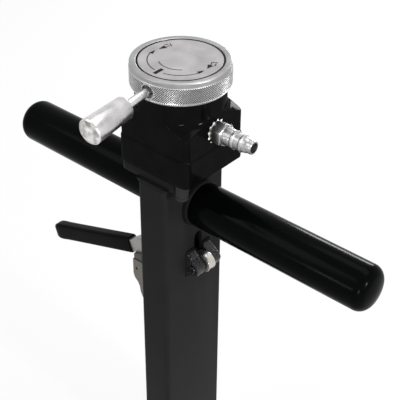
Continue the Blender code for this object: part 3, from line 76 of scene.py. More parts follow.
def settle(piece, matrix=None):
    """Puts a piece where the matrix says and then keeps its place in its mesh, as a CAD node has it."""
    if matrix is not None:
        piece.matrix_world = matrix @ piece.matrix_world
    pick_up(piece)
    bpy.ops.object.transform_apply(location=True, rotation=True, scale=True)


# %% [markdown]
# Most of this object was made on a lathe, so one helper does what a turner does. A circle is the start. Each step
# of the profile extrudes it up or down the axis and resizes it to the new radius. The two ends are then capped,
# or bridged to each other where the piece is a ring.
# %% Helper that turns a piece


def turn_piece(name, profile, sides=96, ring=False):
    """Turns (radius, height) steps about Z. The profile of a ring goes round its section."""
    put_down()
    radius, height = profile[0]
    bpy.ops.mesh.primitive_circle_add(vertices=sides, radius=radius, location=(0, 0, height))
    piece = bpy.context.object
    piece.name = name
    settle(piece)
    pick_up(piece, edit=True)
    bpy.ops.mesh.select_mode(type="EDGE")
    bpy.ops.mesh.select_all(action="SELECT")
    for next_radius, next_height in profile[1:]:
        bpy.ops.mesh.extrude_region_move(TRANSFORM_OT_translate={"value": (0, 0, next_height - height)})
        if next_radius != radius:
            factor = next_radius / radius
            bpy.ops.transform.resize(value=(factor, factor, 1), center_override=(0, 0, next_height))
        radius, height = next_radius, next_height
    bpy.ops.mesh.select_all(action="DESELECT")
    bpy.ops.mesh.select_non_manifold()
    if ring:
        bpy.ops.mesh.bridge_edge_loops()
    else:
        bpy.ops.mesh.fill_holes(sides=0)
    bpy.ops.mesh.select_all(action="SELECT")
    bpy.ops.mesh.normals_make_consistent(inside=False)
    put_down()
    return piece


# %% [markdown]
# A machined edge is never perfectly sharp. It catches a thin line of light, and that line tells the eye that the
# thing is metal. The Bevel modifier rounds each edge over an angle, and shading by angle keeps the flats flat.
# The Boolean modifier cuts bores and slots as a drill or a mill would.
# %% Helpers that finish a shape


def apply_modifier(piece, modifier):
    pick_up(piece)
    bpy.ops.object.modifier_apply(modifier=modifier.name)


def ease_edges(piece, width, angle=35, segments=2):
    bevel = piece.modifiers.new("eased", "BEVEL")
    bevel.width = width
    bevel.segments = segments
    bevel.limit_method = "ANGLE"
    bevel.angle_limit = math.radians(angle)
    bevel.use_clamp_overlap = True
    apply_modifier(piece, bevel)


def smooth(piece, angle=35):
    pick_up(piece)
    bpy.ops.object.shade_smooth_by_angle(angle=math.radians(angle))


def carve(piece, tool, operation="DIFFERENCE"):
    """Cuts the tool out of the piece, or joins it on, and clears the tool away."""
    boolean = piece.modifiers.new("carve", "BOOLEAN")
    boolean.operation = operation
    boolean.object = tool
    apply_modifier(piece, boolean)
    bpy.data.objects.remove(tool, do_unlink=True)


def block(name, low, high, corner=0.0, segments=6):
    """A cube resized to two corners, with its four upright edges rounded."""
    put_down()
    low, high = Vector(low), Vector(high)
    bpy.ops.mesh.primitive_cube_add(size=1, location=(low + high) / 2)
    piece = bpy.context.object
    piece.name = name
    piece.scale = high - low
    settle(piece)
    if corner:
        for edge in piece.data.edges:
            start, end = (piece.data.vertices[index].co for index in edge.vertices)
            edge.select = abs(start.z - end.z) > 1e-6
        bpy.context.tool_settings.mesh_select_mode = (False, True, False)
        chosen = [edge.select for edge in piece.data.edges]
        pick_up(piece, edit=True)
        bpy.ops.mesh.select_all(action="DESELECT")
        bpy.ops.object.mode_set(mode="OBJECT")
        for edge, wanted in zip(piece.data.edges, chosen):
            edge.select = wanted
        bpy.ops.object.mode_set(mode="EDIT")
        bpy.ops.mesh.bevel(offset=corner, segments=segments, affect="EDGES")
        put_down()
    return piece


def along(direction, at=(0, 0, 0)):
    """Matrix that takes +Z to a direction and the origin to a place."""
    turn = Vector((0, 0, 1)).rotation_difference(Vector(direction))
    return Matrix.Translation(at) @ turn.to_matrix().to_4x4()


def copy_node(name, ease=0.0, angle=40):
    """A clean copy of a CAD node: its loose triangles are merged and its flats dissolved before it is eased."""
    put_down()
    piece = frame["nodes"][name].copy()
    piece.data = piece.data.copy()
    bpy.context.scene.collection.objects.link(piece)
    for key in [key for key in piece.keys() if key.startswith("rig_")]:
        del piece[key]
    place = piece.matrix_world.copy()
    piece.parent = None
    piece.matrix_world = place
    settle(piece)
    pick_up(piece, edit=True)
    bpy.ops.mesh.select_all(action="SELECT")
    bpy.ops.mesh.remove_doubles(threshold=0.00001)
    bpy.ops.mesh.dissolve_limited(angle_limit=math.radians(1.5))
    bpy.ops.mesh.normals_make_consistent(inside=False)
    put_down()
    if ease:
        ease_edges(piece, ease, angle)
    smooth(piece, 32)
    return piece


# %% [markdown]
# Each material is a small tree of nodes round one Principled shader. One function adds a node with its settings
# and links. A colour is written as the hex value that a paint program would show, and a second function turns it
# to the linear numbers that the renderer works in.
# %% Helpers for materials


def linear(code):
    shades = [int(code[index:index + 2], 16) / 255 for index in (1, 3, 5)]
    return tuple(shade / 12.92 if shade <= 0.04045 else ((shade + 0.055) / 1.055) ** 2.4 for shade in shades) + (1.0,)


def add(tree, kind, inputs=None, **settings):
    """Adds a node. Each input is a value, or another node's output socket to link."""
    made = tree.nodes.new(kind)
    for name, value in settings.items():
        setattr(made, name, value)
    for name, value in (inputs or {}).items():
        socket = made.inputs[name]
        if isinstance(value, bpy.types.NodeSocket):
            tree.links.new(value, socket)
        else:
            socket.default_value = value
    return made


def new_material(name, colour, metallic, roughness, specular=0.5, ior=1.5):
    material = bpy.data.materials.new(name)
    material.use_nodes = True
    shader = material.node_tree.nodes["Principled BSDF"]
    shader.inputs["Base Color"].default_value = linear(colour)
    shader.inputs["Metallic"].default_value = metallic
    shader.inputs["Roughness"].default_value = roughness
    shader.inputs["Specular IOR Level"].default_value = specular
    shader.inputs["IOR"].default_value = ior
    return material, material.node_tree, shader


def place_on(tree, stretch=(1, 1, 1), turned=(0, 0, 0), at=(0, 0, 0)):
    """Object coordinates, moved, turned and stretched for a pattern on one piece."""
    seat = add(tree, "ShaderNodeTexCoord")
    return add(tree, "ShaderNodeMapping", {"Vector": seat.outputs["Object"], "Location": at, "Rotation": turned,
                                           "Scale": stretch}).outputs["Vector"]


def vary(tree, factor, low, high):
    """A value that swings between low and high with a pattern."""
    return add(tree, "ShaderNodeMapRange", {"Value": factor, "From Min": 0.3, "From Max": 0.7, "To Min": low,
                                            "To Max": high}).outputs["Result"]


def mix_colours(tree, factor, first, second):
    ramp = add(tree, "ShaderNodeValToRGB", {"Fac": factor})
    ramp.color_ramp.elements[0].position = 0.3
    ramp.color_ramp.elements[0].color = linear(first)
    ramp.color_ramp.elements[1].position = 0.7
    ramp.color_ramp.elements[1].color = linear(second)
    return ramp.outputs["Color"]


def emboss(tree, shader, height, depth, strength=1.0):
    bump = add(tree, "ShaderNodeBump", {"Height": height, "Distance": depth, "Strength": strength})
    tree.links.new(bump.outputs["Normal"], shader.inputs["Normal"])
    return bump


# %% [markdown]
# ## The paints
# The column is mild steel tube under a satin black powder coat. Powder melts and flows as it cures, which leaves
# a faint orange peel about 2 mm across. The cast head has enamel over the grain of a sand casting, so it is
# darker and glossier, and its surface rolls gently where the sand left it. The forged ears are painted over mill
# scale, and their coarse grain throws small bright points. The whole studio is white and shows in every gloss, so
# the blacks have a low index of refraction, or they would look grey.
# %% Powder coat and casting enamel


def powder_coat(name, colour, lighter, grain=520.0, depth=0.00006, rough=0.5, specular=0.2, ior=1.17, patch=28.0):
    material, tree, shader = new_material(name, colour, 0.0, rough, specular, ior)
    seat = place_on(tree)
    cloud = add(tree, "ShaderNodeTexNoise", {"Vector": seat, "Scale": patch, "Detail": 4.0}).outputs["Fac"]
    peel = add(tree, "ShaderNodeTexNoise", {"Vector": seat, "Scale": grain, "Detail": 2.0}).outputs["Fac"]
    tree.links.new(mix_colours(tree, cloud, colour, lighter), shader.inputs["Base Color"])
    tree.links.new(vary(tree, cloud, rough * 0.88, rough * 1.12), shader.inputs["Roughness"])
    emboss(tree, shader, peel, depth, 0.6)
    return material


def casting_enamel():
    material, tree, shader = new_material("enamelled_casting", "#090a0a", 0.0, 0.4, 0.0)
    shader.inputs["Coat Weight"].default_value = 0.08
    shader.inputs["Coat Roughness"].default_value = 0.09
    seat = place_on(tree)
    sand = add(tree, "ShaderNodeTexNoise", {"Vector": seat, "Scale": 330.0, "Detail": 5.0}).outputs["Fac"]
    roll = add(tree, "ShaderNodeTexNoise", {"Vector": seat, "Scale": 70.0, "Detail": 2.0}).outputs["Fac"]
    both = add(tree, "ShaderNodeMath", {0: roll, 2: sand}, operation="MULTIPLY_ADD")
    both.inputs[1].default_value = 2.0
    tree.links.new(mix_colours(tree, roll, "#060606", "#0b0b0b"), shader.inputs["Base Color"])
    tree.links.new(vary(tree, sand, 0.36, 0.46), shader.inputs["Roughness"])
    bump = emboss(tree, shader, both.outputs[0], 0.00004, 0.5)
    tree.links.new(bump.outputs["Normal"], shader.inputs["Coat Normal"])
    return material


COLUMN_PAINT = powder_coat("powder_coated_tube", "#1d1d1e", "#222223")
PLATE_PAINT = powder_coat("powder_coated_plate", "#151516", "#1a1a1b")
FORGED_PAINT = powder_coat("painted_forging", "#141414", "#343434", 900.0, 0.0002, 0.2, 0.5, 1.4, 380.0)
SILENCER_PAINT = powder_coat("painted_sinter", "#2a2a2b", "#313132", 900.0, 0.0001, 0.55)
CASTING = casting_enamel()

# %% [markdown]
# ## The mouldings
# The T-bar grips are dipped in black vinyl, which comes out of the bath nearly as smooth as glass. They need a
# deep black, low roughness and a sharp reflection. The lever's grip is moulded ABS with a finer, duller grain.
# Rubber and nylon are matt. Real nylon lets a little light in, which this material leaves out.
# %% Vinyl, ABS, rubber and nylon


def moulding(name, colour, lighter, rough, specular, grain, depth, ior=1.5):
    material, tree, shader = new_material(name, colour, 0.0, rough, specular, ior)
    seat = place_on(tree)
    cloud = add(tree, "ShaderNodeTexNoise", {"Vector": seat, "Scale": 40.0, "Detail": 3.0}).outputs["Fac"]
    skin = add(tree, "ShaderNodeTexNoise", {"Vector": seat, "Scale": grain, "Detail": 2.0}).outputs["Fac"]
    tree.links.new(mix_colours(tree, cloud, colour, lighter), shader.inputs["Base Color"])
    tree.links.new(vary(tree, cloud, rough * 0.85, rough * 1.15), shader.inputs["Roughness"])
    emboss(tree, shader, skin, depth, 0.4)
    return material


GRIP_VINYL = moulding("dipped_vinyl", "#040505", "#060707", 0.18, 0.3, 260.0, 0.00001, 1.11)
LEVER_ABS = moulding("moulded_abs", "#080808", "#0c0c0c", 0.3, 0.3, 700.0, 0.00005, 1.13)
RUBBER = moulding("black_rubber", "#141414", "#1b1b1b", 0.7, 0.3, 900.0, 0.00008, 1.25)
PAD_RUBBER = moulding("grey_rubber_pad", "#4a4a4a", "#565656", 0.7, 0.3, 900.0, 0.00008)
NYLON = moulding("natural_nylon", "#cfc9ba", "#d8d3c6", 0.45, 0.4, 500.0, 0.00003)

# %% [markdown]
# ## The metals
# Zinc plate on pressed steel is bright but cloudy, with soft patches. Turned aluminium carries fine rings from
# the tool, and they run round the axis that it was turned on. A wave pattern in rings about that axis draws them.
# The real rings are about 0.1 mm apart. They are drawn at 0.35 mm so that they still show in the picture.
# %% Plated, turned and bare metal


def metal(name, colour, lighter, rough, cloud_scale=45.0, grain=900.0, depth=0.00002):
    material, tree, shader = new_material(name, colour, 1.0, rough)
    seat = place_on(tree)
    cloud = add(tree, "ShaderNodeTexNoise", {"Vector": seat, "Scale": cloud_scale, "Detail": 6.0}).outputs["Fac"]
    skin = add(tree, "ShaderNodeTexNoise", {"Vector": seat, "Scale": grain, "Detail": 2.0}).outputs["Fac"]
    tree.links.new(mix_colours(tree, cloud, colour, lighter), shader.inputs["Base Color"])
    tree.links.new(vary(tree, cloud, rough * 0.8, rough * 1.25), shader.inputs["Roughness"])
    emboss(tree, shader, skin, depth, 0.5)
    return material


def turned_metal(name, colour, lighter, rough, at, turned, pitch, depth, metallic=1.0):
    """Metal with tool rings about an axis through a place."""
    material, tree, shader = new_material(name, colour, metallic, rough)
    seat = add(tree, "ShaderNodeTexCoord").outputs["Object"]
    move = add(tree, "ShaderNodeVectorMath", {0: seat, 1: at}, operation="SUBTRACT").outputs["Vector"]
    spin = add(tree, "ShaderNodeMapping", {"Vector": move, "Rotation": turned}).outputs["Vector"]
    rings = add(tree, "ShaderNodeTexWave", {"Vector": spin, "Scale": 0.05 / pitch, "Distortion": 0.6, "Detail": 2.0},
                wave_type="RINGS", rings_direction="Z").outputs["Fac"]
    cloud = add(tree, "ShaderNodeTexNoise", {"Vector": seat, "Scale": 60.0, "Detail": 5.0}).outputs["Fac"]
    tree.links.new(mix_colours(tree, cloud, colour, lighter), shader.inputs["Base Color"])
    tree.links.new(vary(tree, cloud, rough * 0.85, rough * 1.2), shader.inputs["Roughness"])
    emboss(tree, shader, rings, depth, 0.5)
    return material


ZINC = metal("zinc_plated_steel", "#bcb9b3", "#d6d3cd", 0.25)
WASHER_ZINC = metal("bright_zinc_washer", "#eceae6", "#f6f5f2", 0.55)
DARKER_ZINC = metal("darker_zinc_plate", "#8a8988", "#989694", 0.4)
BRACKET_ZINC = metal("dull_zinc_plate", "#65615d", "#746f6a", 0.45)
NICKEL = metal("nickel_plated_steel", "#949494", "#aeaeae", 0.34, 30.0)
ROD_NICKEL = metal("bright_nickel_plate", "#bababa", "#d2d2d2", 0.28, 30.0)
STEEL = metal("bright_steel_bar", "#9a9a9c", "#b0b0b2", 0.3)
SPRING_STEEL = metal("spring_steel", "#6c6c70", "#88888c", 0.35)
BRONZE = metal("bearing_bronze", "#a8793e", "#bb8c50", 0.35)
KNOB_METAL = turned_metal("turned_aluminium", "#959595", "#a5a5a5", 0.42, (0, 0, 0.41), (0, 0, 0), 0.7 * MM, 0.00005)
KNURL_METAL = metal("knurled_aluminium", "#a9a9a9", "#c4c4c4", 0.42)
# The knurled band's colour follows the distance from the knob's axis and is darker in the valleys: partly dirt held
# there, partly painted shade.
knurl_tree = KNURL_METAL.node_tree
knurl_seat = place_on(knurl_tree, (1, 1, 0))
knurl_reach = add(knurl_tree, "ShaderNodeVectorMath", {0: knurl_seat}, operation="LENGTH").outputs["Value"]
knurl_dirt_and_shade = add(knurl_tree, "ShaderNodeMapRange", {"Value": knurl_reach, "From Min": 39.35 * MM, "From Max": 40.0 * MM}).outputs["Result"]
knurl_tree.links.new(mix_colours(knurl_tree, knurl_dirt_and_shade, "#6e6e6e", "#bcbcbc"), knurl_tree.nodes["Principled BSDF"].inputs["Base Color"])
print("materials", len(bpy.data.materials))

# %% [markdown]
# ## Giving a piece to its body
# A piece that replaces a CAD node hides it, gets its material and rides on the node's body from the record,
# so it moves with the joint. Every call prints a line, so the list of pieces reads as a parts list.
# %% Helper that hands a piece over
BODY_OF_NODE = {node: body for body, nodes in frame["record"]["behaviour"]["bodies"].items() for node in nodes}


def hand_over(piece, material, node, hides=True):
    """Dresses a piece, and lets it stand for a CAD node or sit beside it."""
    piece.data.materials.clear()
    piece.data.materials.append(material)
    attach(piece, BODY_OF_NODE[node])
    if hides:
        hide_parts(node)
    print("%-22s %6d faces, for %s" % (piece.name, len(piece.data.polygons), node))
    return piece


# %% [markdown]
# ## The column
# The column is a rectangular tube, 30 by 73 mm with 3 mm walls. A block with rounded upright edges makes the
# outside, and a second one is cut out of it. The T-bar passes through a drilled bore, and the lever through a
# milled slot on each side. A slot is a block with two round ends, which is the path of the milling cutter.
# %% Model the column
COLUMN_LENGTH = 325 * MM
BAR_Y, BAR_Z = 4 * MM, 293.6 * MM


def milled_slot(name, x, low, high, width):
    """Cutter for a slot through one wall, along Z."""
    tool = block(name, (x - 3 * MM, BAR_Y - width / 2, low + width / 2), (x + 3 * MM, BAR_Y + width / 2, high - width / 2))
    for height in (low + width / 2, high - width / 2):
        end = turn_piece(name + "_end", [(width / 2, -2.99 * MM), (width / 2, 2.99 * MM)], 48)
        settle(end, along((1, 0, 0), (x, BAR_Y, height)))
        carve(tool, end, "UNION")
    return tool


column = block("column_body", (-15 * MM, -36.5 * MM, 0), (15 * MM, 36.5 * MM, COLUMN_LENGTH), 4.5 * MM, 10)
ease_edges(column, 0.4 * MM, 60)
carve(column, block("column_hollow", (-12 * MM, -33.5 * MM, -MM), (12 * MM, 33.5 * MM, COLUMN_LENGTH + MM), 1.5 * MM, 4))
bar_bore = turn_piece("bar_bore", [(13.3 * MM, -20 * MM), (13.3 * MM, 20 * MM)])
settle(bar_bore, along((1, 0, 0), (0, BAR_Y, BAR_Z)))
carve(column, bar_bore)
carve(column, milled_slot("front_slot", 13.5 * MM, 222.5 * MM, 263.3 * MM, 9.4 * MM))
carve(column, milled_slot("rear_slot", -13.5 * MM, 215.0 * MM, 245.5 * MM, 9.4 * MM))
for height in (46.98 * MM, 146.5 * MM, 157.5 * MM):
    hole = turn_piece("screw_hole", [(2.8 * MM, -3 * MM), (2.8 * MM, 3 * MM)], 32)
    settle(hole, along((1, 0, 0), (-13.5 * MM, BAR_Y, height)))
    carve(column, hole)
smooth(column, 30)
hand_over(column, COLUMN_PAINT, "column_tube")

# %% [markdown]
# ## The top plate
# An 8 mm steel plate is welded on top of the tube. It is a rounded block with an opening for the rods and the
# hose, and four holes for the screws that hold the head. It stops short of the head on the inlet's side, where a
# round bite at its near corner clears the exhaust silencer. A thin fillet of weld runs round the joint under it,
# and a torus is the wrong start for that, because the path has corners. A rounded block whose top edge is as wide
# as the tube plus the bead, and whose foot is as wide as the tube, makes a fillet in one piece.
# %% Model the plate and its weld
plate = block("plate_body", (-35.4 * MM, -34.2 * MM, 325.3 * MM), (27 * MM, 34.2 * MM, 333.3 * MM), 6 * MM, 10)
ease_edges(plate, 0.5 * MM, 60)
carve(plate, block("plate_window", (-10.5 * MM, -31.5 * MM, 320 * MM), (10.5 * MM, 31.5 * MM, 340 * MM), 4 * MM, 6))
SILENCER_PLACE = Matrix.Translation((27 * MM, -29.2 * MM, 0))
bite = turn_piece("silencer_bite", [(5.8 * MM, 324 * MM), (5.8 * MM, 335 * MM)])
settle(bite, SILENCER_PLACE)
carve(plate, bite)
SCREW_PLACES = [(x * MM, y * MM) for x, y in ((-25.9, -24.7), (-25.9, 24.7), (20.5, -17.0), (20.5, 17.0))]
for x, y in SCREW_PLACES:
    hole = turn_piece("plate_hole", [(5.3 * MM, 324 * MM), (5.3 * MM, 330.6 * MM), (3.3 * MM, 330.6 * MM), (3.3 * MM, 335 * MM)], 48)
    settle(hole, Matrix.Translation((x, y, 0)))
    carve(plate, hole)
smooth(plate, 30)
hand_over(plate, PLATE_PAINT, "top_plate")

weld = block("plate_weld", (-15.1 * MM, -36.6 * MM, 321.6 * MM), (15.1 * MM, 36.6 * MM, 325.2 * MM), 4.6 * MM, 8)
pick_up(weld, edit=True)
bpy.ops.mesh.select_all(action="DESELECT")
bpy.ops.object.mode_set(mode="OBJECT")
for vertex in weld.data.vertices:
    vertex.select = vertex.co.z > 325 * MM
pick_up(weld, edit=True)
bpy.ops.transform.resize(value=(18.4 / 15.1, 1.0, 1), center_override=(0, 0, 325.2 * MM))
carve(weld, block("weld_hollow", (-15.02 * MM, -36.52 * MM, 320 * MM), (15.02 * MM, 36.52 * MM, 327 * MM), 4.5 * MM, 10))
smooth(weld, 50)
hand_over(weld, PLATE_PAINT, "top_plate", hides=False)

# %% [markdown]
# ## The cast head
# The head is one sand casting: a square flange, a square block a little smaller above it, and sloping shoulders
# that run up into a round neck. The block is cut to the neck and the shoulders by a turned shape, which leaves
# the arc on each face and the pointed corner that the casting has. A voxel remesh and a few smoothing steps then
# give every edge the soft radius of a casting, which a bevel can't do where so many faces meet. The bores are
# machined after casting, so they are cut last and stay sharp.
# %% Model the casting
HEAD_FOOT, HEAD_TOP = 333.6 * MM, 401.5 * MM
FLANGE_TOP = HEAD_FOOT + 23.4 * MM
head = block("cast_head", (-36.4 * MM, -34.7 * MM, HEAD_FOOT), (36.4 * MM, 34.7 * MM, FLANGE_TOP), 5.5 * MM, 10)
upper = block("upper_block", (-35.6 * MM, -33.9 * MM, FLANGE_TOP - 2 * MM), (35.6 * MM, 33.9 * MM, HEAD_TOP), 4.7 * MM, 10)
neck = turn_piece("neck", [(36.2 * MM, HEAD_TOP + MM), (36.2 * MM, 385.9 * MM), (36.7 * MM, 384.4 * MM),
                           (38.6 * MM, 382 * MM), (57.6 * MM, 370.9 * MM), (57.6 * MM, HEAD_FOOT)], 160)
carve(upper, neck, "INTERSECT")
carve(head, upper, "UNION")
remesh = head.modifiers.new("voxels", "REMESH")
remesh.mode = "VOXEL"
remesh.voxel_size = 0.6 * MM
apply_modifier(head, remesh)
relax = head.modifiers.new("relax", "SMOOTH")
relax.factor = 0.5
relax.iterations = 5
apply_modifier(head, relax)
bores = [
    turn_piece("main_bore", [(12.3 * MM, HEAD_TOP + MM), (12.3 * MM, 399.2 * MM), (9.3 * MM, 399.2 * MM),
                             (9.3 * MM, 387.7 * MM), (14.5 * MM, 387.7 * MM), (14.5 * MM, HEAD_FOOT - MM)]),
    turn_piece("pocket", [(13.5 * MM, HEAD_FOOT - MM), (13.5 * MM, HEAD_FOOT + 19 * MM)]),
    block("rod_pocket", (-6.5 * MM, -28.5 * MM, HEAD_FOOT - MM), (6.5 * MM, 0, HEAD_FOOT + 19 * MM), 6.4 * MM),
    block("spool_pocket", (0, -6.5 * MM, HEAD_FOOT - MM), (28.7 * MM, 6.5 * MM, HEAD_FOOT + 19 * MM), 6.4 * MM),
    turn_piece("spool_bore", [(4.5 * MM, HEAD_FOOT), (4.5 * MM, 385.3 * MM)], 48),
    turn_piece("inlet_port", [(5.9 * MM, 0), (5.9 * MM, 20 * MM)], 48),
    turn_piece("outlet_port", [(3.8 * MM, HEAD_FOOT - MM), (3.8 * MM, HEAD_FOOT + 11 * MM)], 48),
    turn_piece("seal_groove", [(15.3 * MM, HEAD_TOP + MM), (18.3 * MM, HEAD_TOP + MM), (18.3 * MM, HEAD_TOP - 1.8 * MM),
                               (15.3 * MM, HEAD_TOP - 1.8 * MM)], ring=True),
    turn_piece("exhaust_port", [(3.3 * MM, HEAD_FOOT - MM), (3.3 * MM, HEAD_FOOT + 9 * MM)], 48),
]
settle(bores[4], Matrix.Translation((22.2 * MM, 0, 0)))
settle(bores[5], along((1, 0, 0), (27.3 * MM, 0, 372.7 * MM)))
settle(bores[6], Matrix.Translation((0, 24 * MM, 0)))
settle(bores[8], SILENCER_PLACE)
for x, y in SCREW_PLACES:
    hole = turn_piece("tapped_hole", [(3.3 * MM, HEAD_FOOT - MM), (3.3 * MM, HEAD_FOOT + 18 * MM)], 32)
    settle(hole, Matrix.Translation((x, y, 0)))
    bores.append(hole)
for bore in bores:
    carve(head, bore)
smooth(head, 40)
hand_over(head, CASTING, "head_housing")

# %% [markdown]
# A small sintered silencer is screwed into the head's underside at the near corner, where the spent air leaves.
# It is turned with an eased foot and one groove, and it has been painted over with the rest.
# %% Model the silencer
silencer = turn_piece("sintered_silencer", [
    (4.3 * MM, 320 * MM), (4.9 * MM, 320.2 * MM), (5.2 * MM, 320.8 * MM), (5.2 * MM, 322.8 * MM), (4.8 * MM, 323.1 * MM),
    (4.8 * MM, 323.7 * MM), (5.2 * MM, 324 * MM), (5.2 * MM, 333 * MM), (4.9 * MM, 333.3 * MM), (3 * MM, 333.3 * MM),
    (3 * MM, 341.2 * MM), (2.6 * MM, 341.6 * MM)], 64)
settle(silencer, SILENCER_PLACE)
smooth(silencer, 40)
hand_over(silencer, SILENCER_PAINT, "exhaust_silencer")

# %% [markdown]
# ## The knob
# The knob is turned from aluminium bar. Its rim has a plain band at the top, a knurled band and a narrow plain
# band at the foot. Knurling presses a grid of small diamonds into the metal. Here the band is turned with many
# rings, and every other point of that grid is pushed in. Each square is then split along its shorter diagonal,
# which joins two low points, so each diamond is a real little pyramid and catches its own light.
# %% Model the knob's ring
KNOB_FOOT, KNOB_TOP = 402.0 * MM, 422.0 * MM
TOMMY_HEADING = Vector((math.sin(math.radians(3)) * math.cos(math.radians(4.5)),
                        -math.cos(math.radians(3)) * math.cos(math.radians(4.5)), -math.sin(math.radians(4.5))))
TOMMY_ROOT = Vector((TOMMY_HEADING.x, TOMMY_HEADING.y, 0)).normalized() * 40 * MM + Vector((0, 0, KNOB_TOP - 11 * MM))
KNURL_COLUMNS, KNURL_ROWS = 288, 15
KNURL_LOW, KNURL_HIGH = KNOB_FOOT + 2.0 * MM, KNOB_TOP - 4.2 * MM
knurl_steps = [(39.75 * MM, KNURL_LOW + (KNURL_HIGH - KNURL_LOW) * row / KNURL_ROWS) for row in range(KNURL_ROWS + 1)]
knob_profile = [(37.9 * MM, KNOB_FOOT), (39.3 * MM, KNOB_FOOT + 1.2 * MM), (39.3 * MM, KNURL_LOW - 0.4 * MM)]
knob_profile += knurl_steps
knob_profile += [(39.4 * MM, KNURL_HIGH + 0.4 * MM), (39.5 * MM, KNOB_TOP - 1.0 * MM), (39.2 * MM, KNOB_TOP - 0.4 * MM),
                 (38.7 * MM, KNOB_TOP - 0.1 * MM), (38.2 * MM, KNOB_TOP), (34.9 * MM, KNOB_TOP), (34.4 * MM, KNOB_TOP - 0.25 * MM),
                 (33.7 * MM, KNOB_TOP - 1.9 * MM), (6.3 * MM, KNOB_TOP - 1.9 * MM), (6.3 * MM, KNOB_TOP - 5.9 * MM),
                 (3.3 * MM, KNOB_TOP - 5.9 * MM), (3.3 * MM, KNOB_FOOT + 2 * MM), (6.7 * MM, KNOB_FOOT)]
knob = turn_piece("knob_rim", knob_profile, KNURL_COLUMNS, ring=True)
row_height = (KNURL_HIGH - KNURL_LOW) / KNURL_ROWS
for vertex in knob.data.vertices:
    row = round((vertex.co.z - KNURL_LOW) / row_height)
    column_number = round(math.atan2(vertex.co.y, vertex.co.x) / math.tau * KNURL_COLUMNS)
    on_band = abs(math.hypot(vertex.co.x, vertex.co.y) - 39.75 * MM) < 0.05 * MM and 0 < row < KNURL_ROWS
    if on_band and (vertex.co - TOMMY_ROOT).length > 6.3 * MM:
        factor = 39.99 / 39.75 if (row + column_number) % 2 else 39.4 / 39.75
        vertex.co.x *= factor
        vertex.co.y *= factor
split = knob.modifiers.new("split", "TRIANGULATE")
split.quad_method = "SHORTEST_DIAGONAL"
apply_modifier(knob, split)
mouth = turn_piece("tommy_mouth", [(5.4 * MM, 2 * MM), (5.4 * MM, -3 * MM), (3.9 * MM, -3 * MM), (3.9 * MM, -17.3 * MM)], 64)
settle(mouth, along(TOMMY_HEADING, TOMMY_ROOT))
carve(knob, mouth)
smooth(knob, 22)
hand_over(knob, KNURL_METAL, "knob_ring")
knob.data.materials.append(KNOB_METAL)
for face in knob.data.polygons:
    height = face.center.z
    reach = math.hypot(face.center.x, face.center.y)
    face.material_index = 0 if KNURL_LOW < height < KNURL_HIGH and reach > 39 * MM else 1

# %% [markdown]
# ## The dial
# The dial is an anodised plate let into the knob. Its print is generic: a bar for neutral, an arrow each way and
# a small wedge at each end. Each mark is a thin raised shape. An arc starts as one small upright face and is
# spun about the knob's axis, a wedge is a three-sided cylinder, and a bar is a flat block.
# %% Model the dial plate and its marks
DIAL_TOP = 421.6 * MM
ANODISED = turned_metal("anodised_dial", "#9d9b9c", "#b6b3b5", 0.42, (0, 0, 0.42), (0, 0, 0), 0.5 * MM, 0.000008, 0.55)
PRINT, print_tree, print_shader = new_material("dial_print", "#151515", 0.0, 0.5, 0.3, 1.2)
print_seat = place_on(print_tree)
print_wear = add(print_tree, "ShaderNodeTexNoise", {"Vector": print_seat, "Scale": 900.0, "Detail": 3.0}).outputs["Fac"]
print_tree.links.new(mix_colours(print_tree, print_wear, "#101010", "#242424"), print_shader.inputs["Base Color"])
dial = turn_piece("dial_face", [(32.6 * MM, DIAL_TOP - 1.2 * MM), (32.9 * MM, DIAL_TOP - 1.1 * MM),
                                (32.9 * MM, DIAL_TOP - 0.15 * MM), (32.7 * MM, DIAL_TOP)], 192)
smooth(dial, 30)
hand_over(dial, ANODISED, "dial_plate")

# A black rubber ring fills the gap round the dial plate. It also stands where the shade in that gap falls, so its
# darkness is partly painted shade.
rubber_ring_and_gap_shade = turn_piece("dial_rubber_ring_and_gap_shade", [(32.95 * MM, 420.2 * MM), (33.72 * MM, 420.2 * MM), (34.2 * MM, 421.4 * MM),
                                    (34.15 * MM, 421.7 * MM), (33.6 * MM, 421.85 * MM), (33 * MM, 421.7 * MM)], 192, ring=True)
smooth(rubber_ring_and_gap_shade, 50)
hand_over(rubber_ring_and_gap_shade, RUBBER, "dial_plate", hides=False)


def polar(radius, degrees, height=DIAL_TOP):
    angle = math.radians(degrees)
    return Vector((radius * math.cos(angle), radius * math.sin(angle), height))


def arc_mark(name, radius, start, end, width):
    """Thin arc, spun from one small face."""
    put_down()
    bpy.ops.mesh.primitive_plane_add(size=1, rotation=(math.radians(90), 0, 0))
    mark = bpy.context.object
    mark.name = name
    mark.scale = (width, 0.1 * MM, 1)
    settle(mark)
    mark.location = (radius, 0, DIAL_TOP)
    settle(mark)
    settle(mark, Matrix.Rotation(math.radians(start), 4, "Z"))
    pick_up(mark, edit=True)
    bpy.ops.mesh.select_all(action="SELECT")
    bpy.ops.mesh.spin(steps=48, angle=-math.radians(end - start), center=(0, 0, 0), axis=(0, 0, 1))
    bpy.ops.mesh.select_all(action="SELECT")
    bpy.ops.mesh.normals_make_consistent(inside=False)
    put_down()
    return mark


def wedge_mark(name, radius, degrees, length, width, heading):
    """Three-sided mark whose point faces a heading in degrees."""
    put_down()
    bpy.ops.mesh.primitive_cylinder_add(vertices=3, radius=1, depth=0.1 * MM)
    mark = bpy.context.object
    mark.name = name
    settle(mark, Matrix.Rotation(math.radians(-90), 4, "Z"))
    mark.scale = (length / 1.5, width / 1.732, 1)
    settle(mark)
    settle(mark, Matrix.Translation(polar(radius, degrees)) @ Matrix.Rotation(math.radians(heading), 4, "Z"))
    return mark


def bar_mark(name, radius, degrees, length, width, heading):
    mark = block(name, (-length / 2, -width / 2, -0.05 * MM), (length / 2, width / 2, 0.05 * MM))
    settle(mark, Matrix.Translation(polar(radius, degrees)) @ Matrix.Rotation(math.radians(heading), 4, "Z"))
    return mark


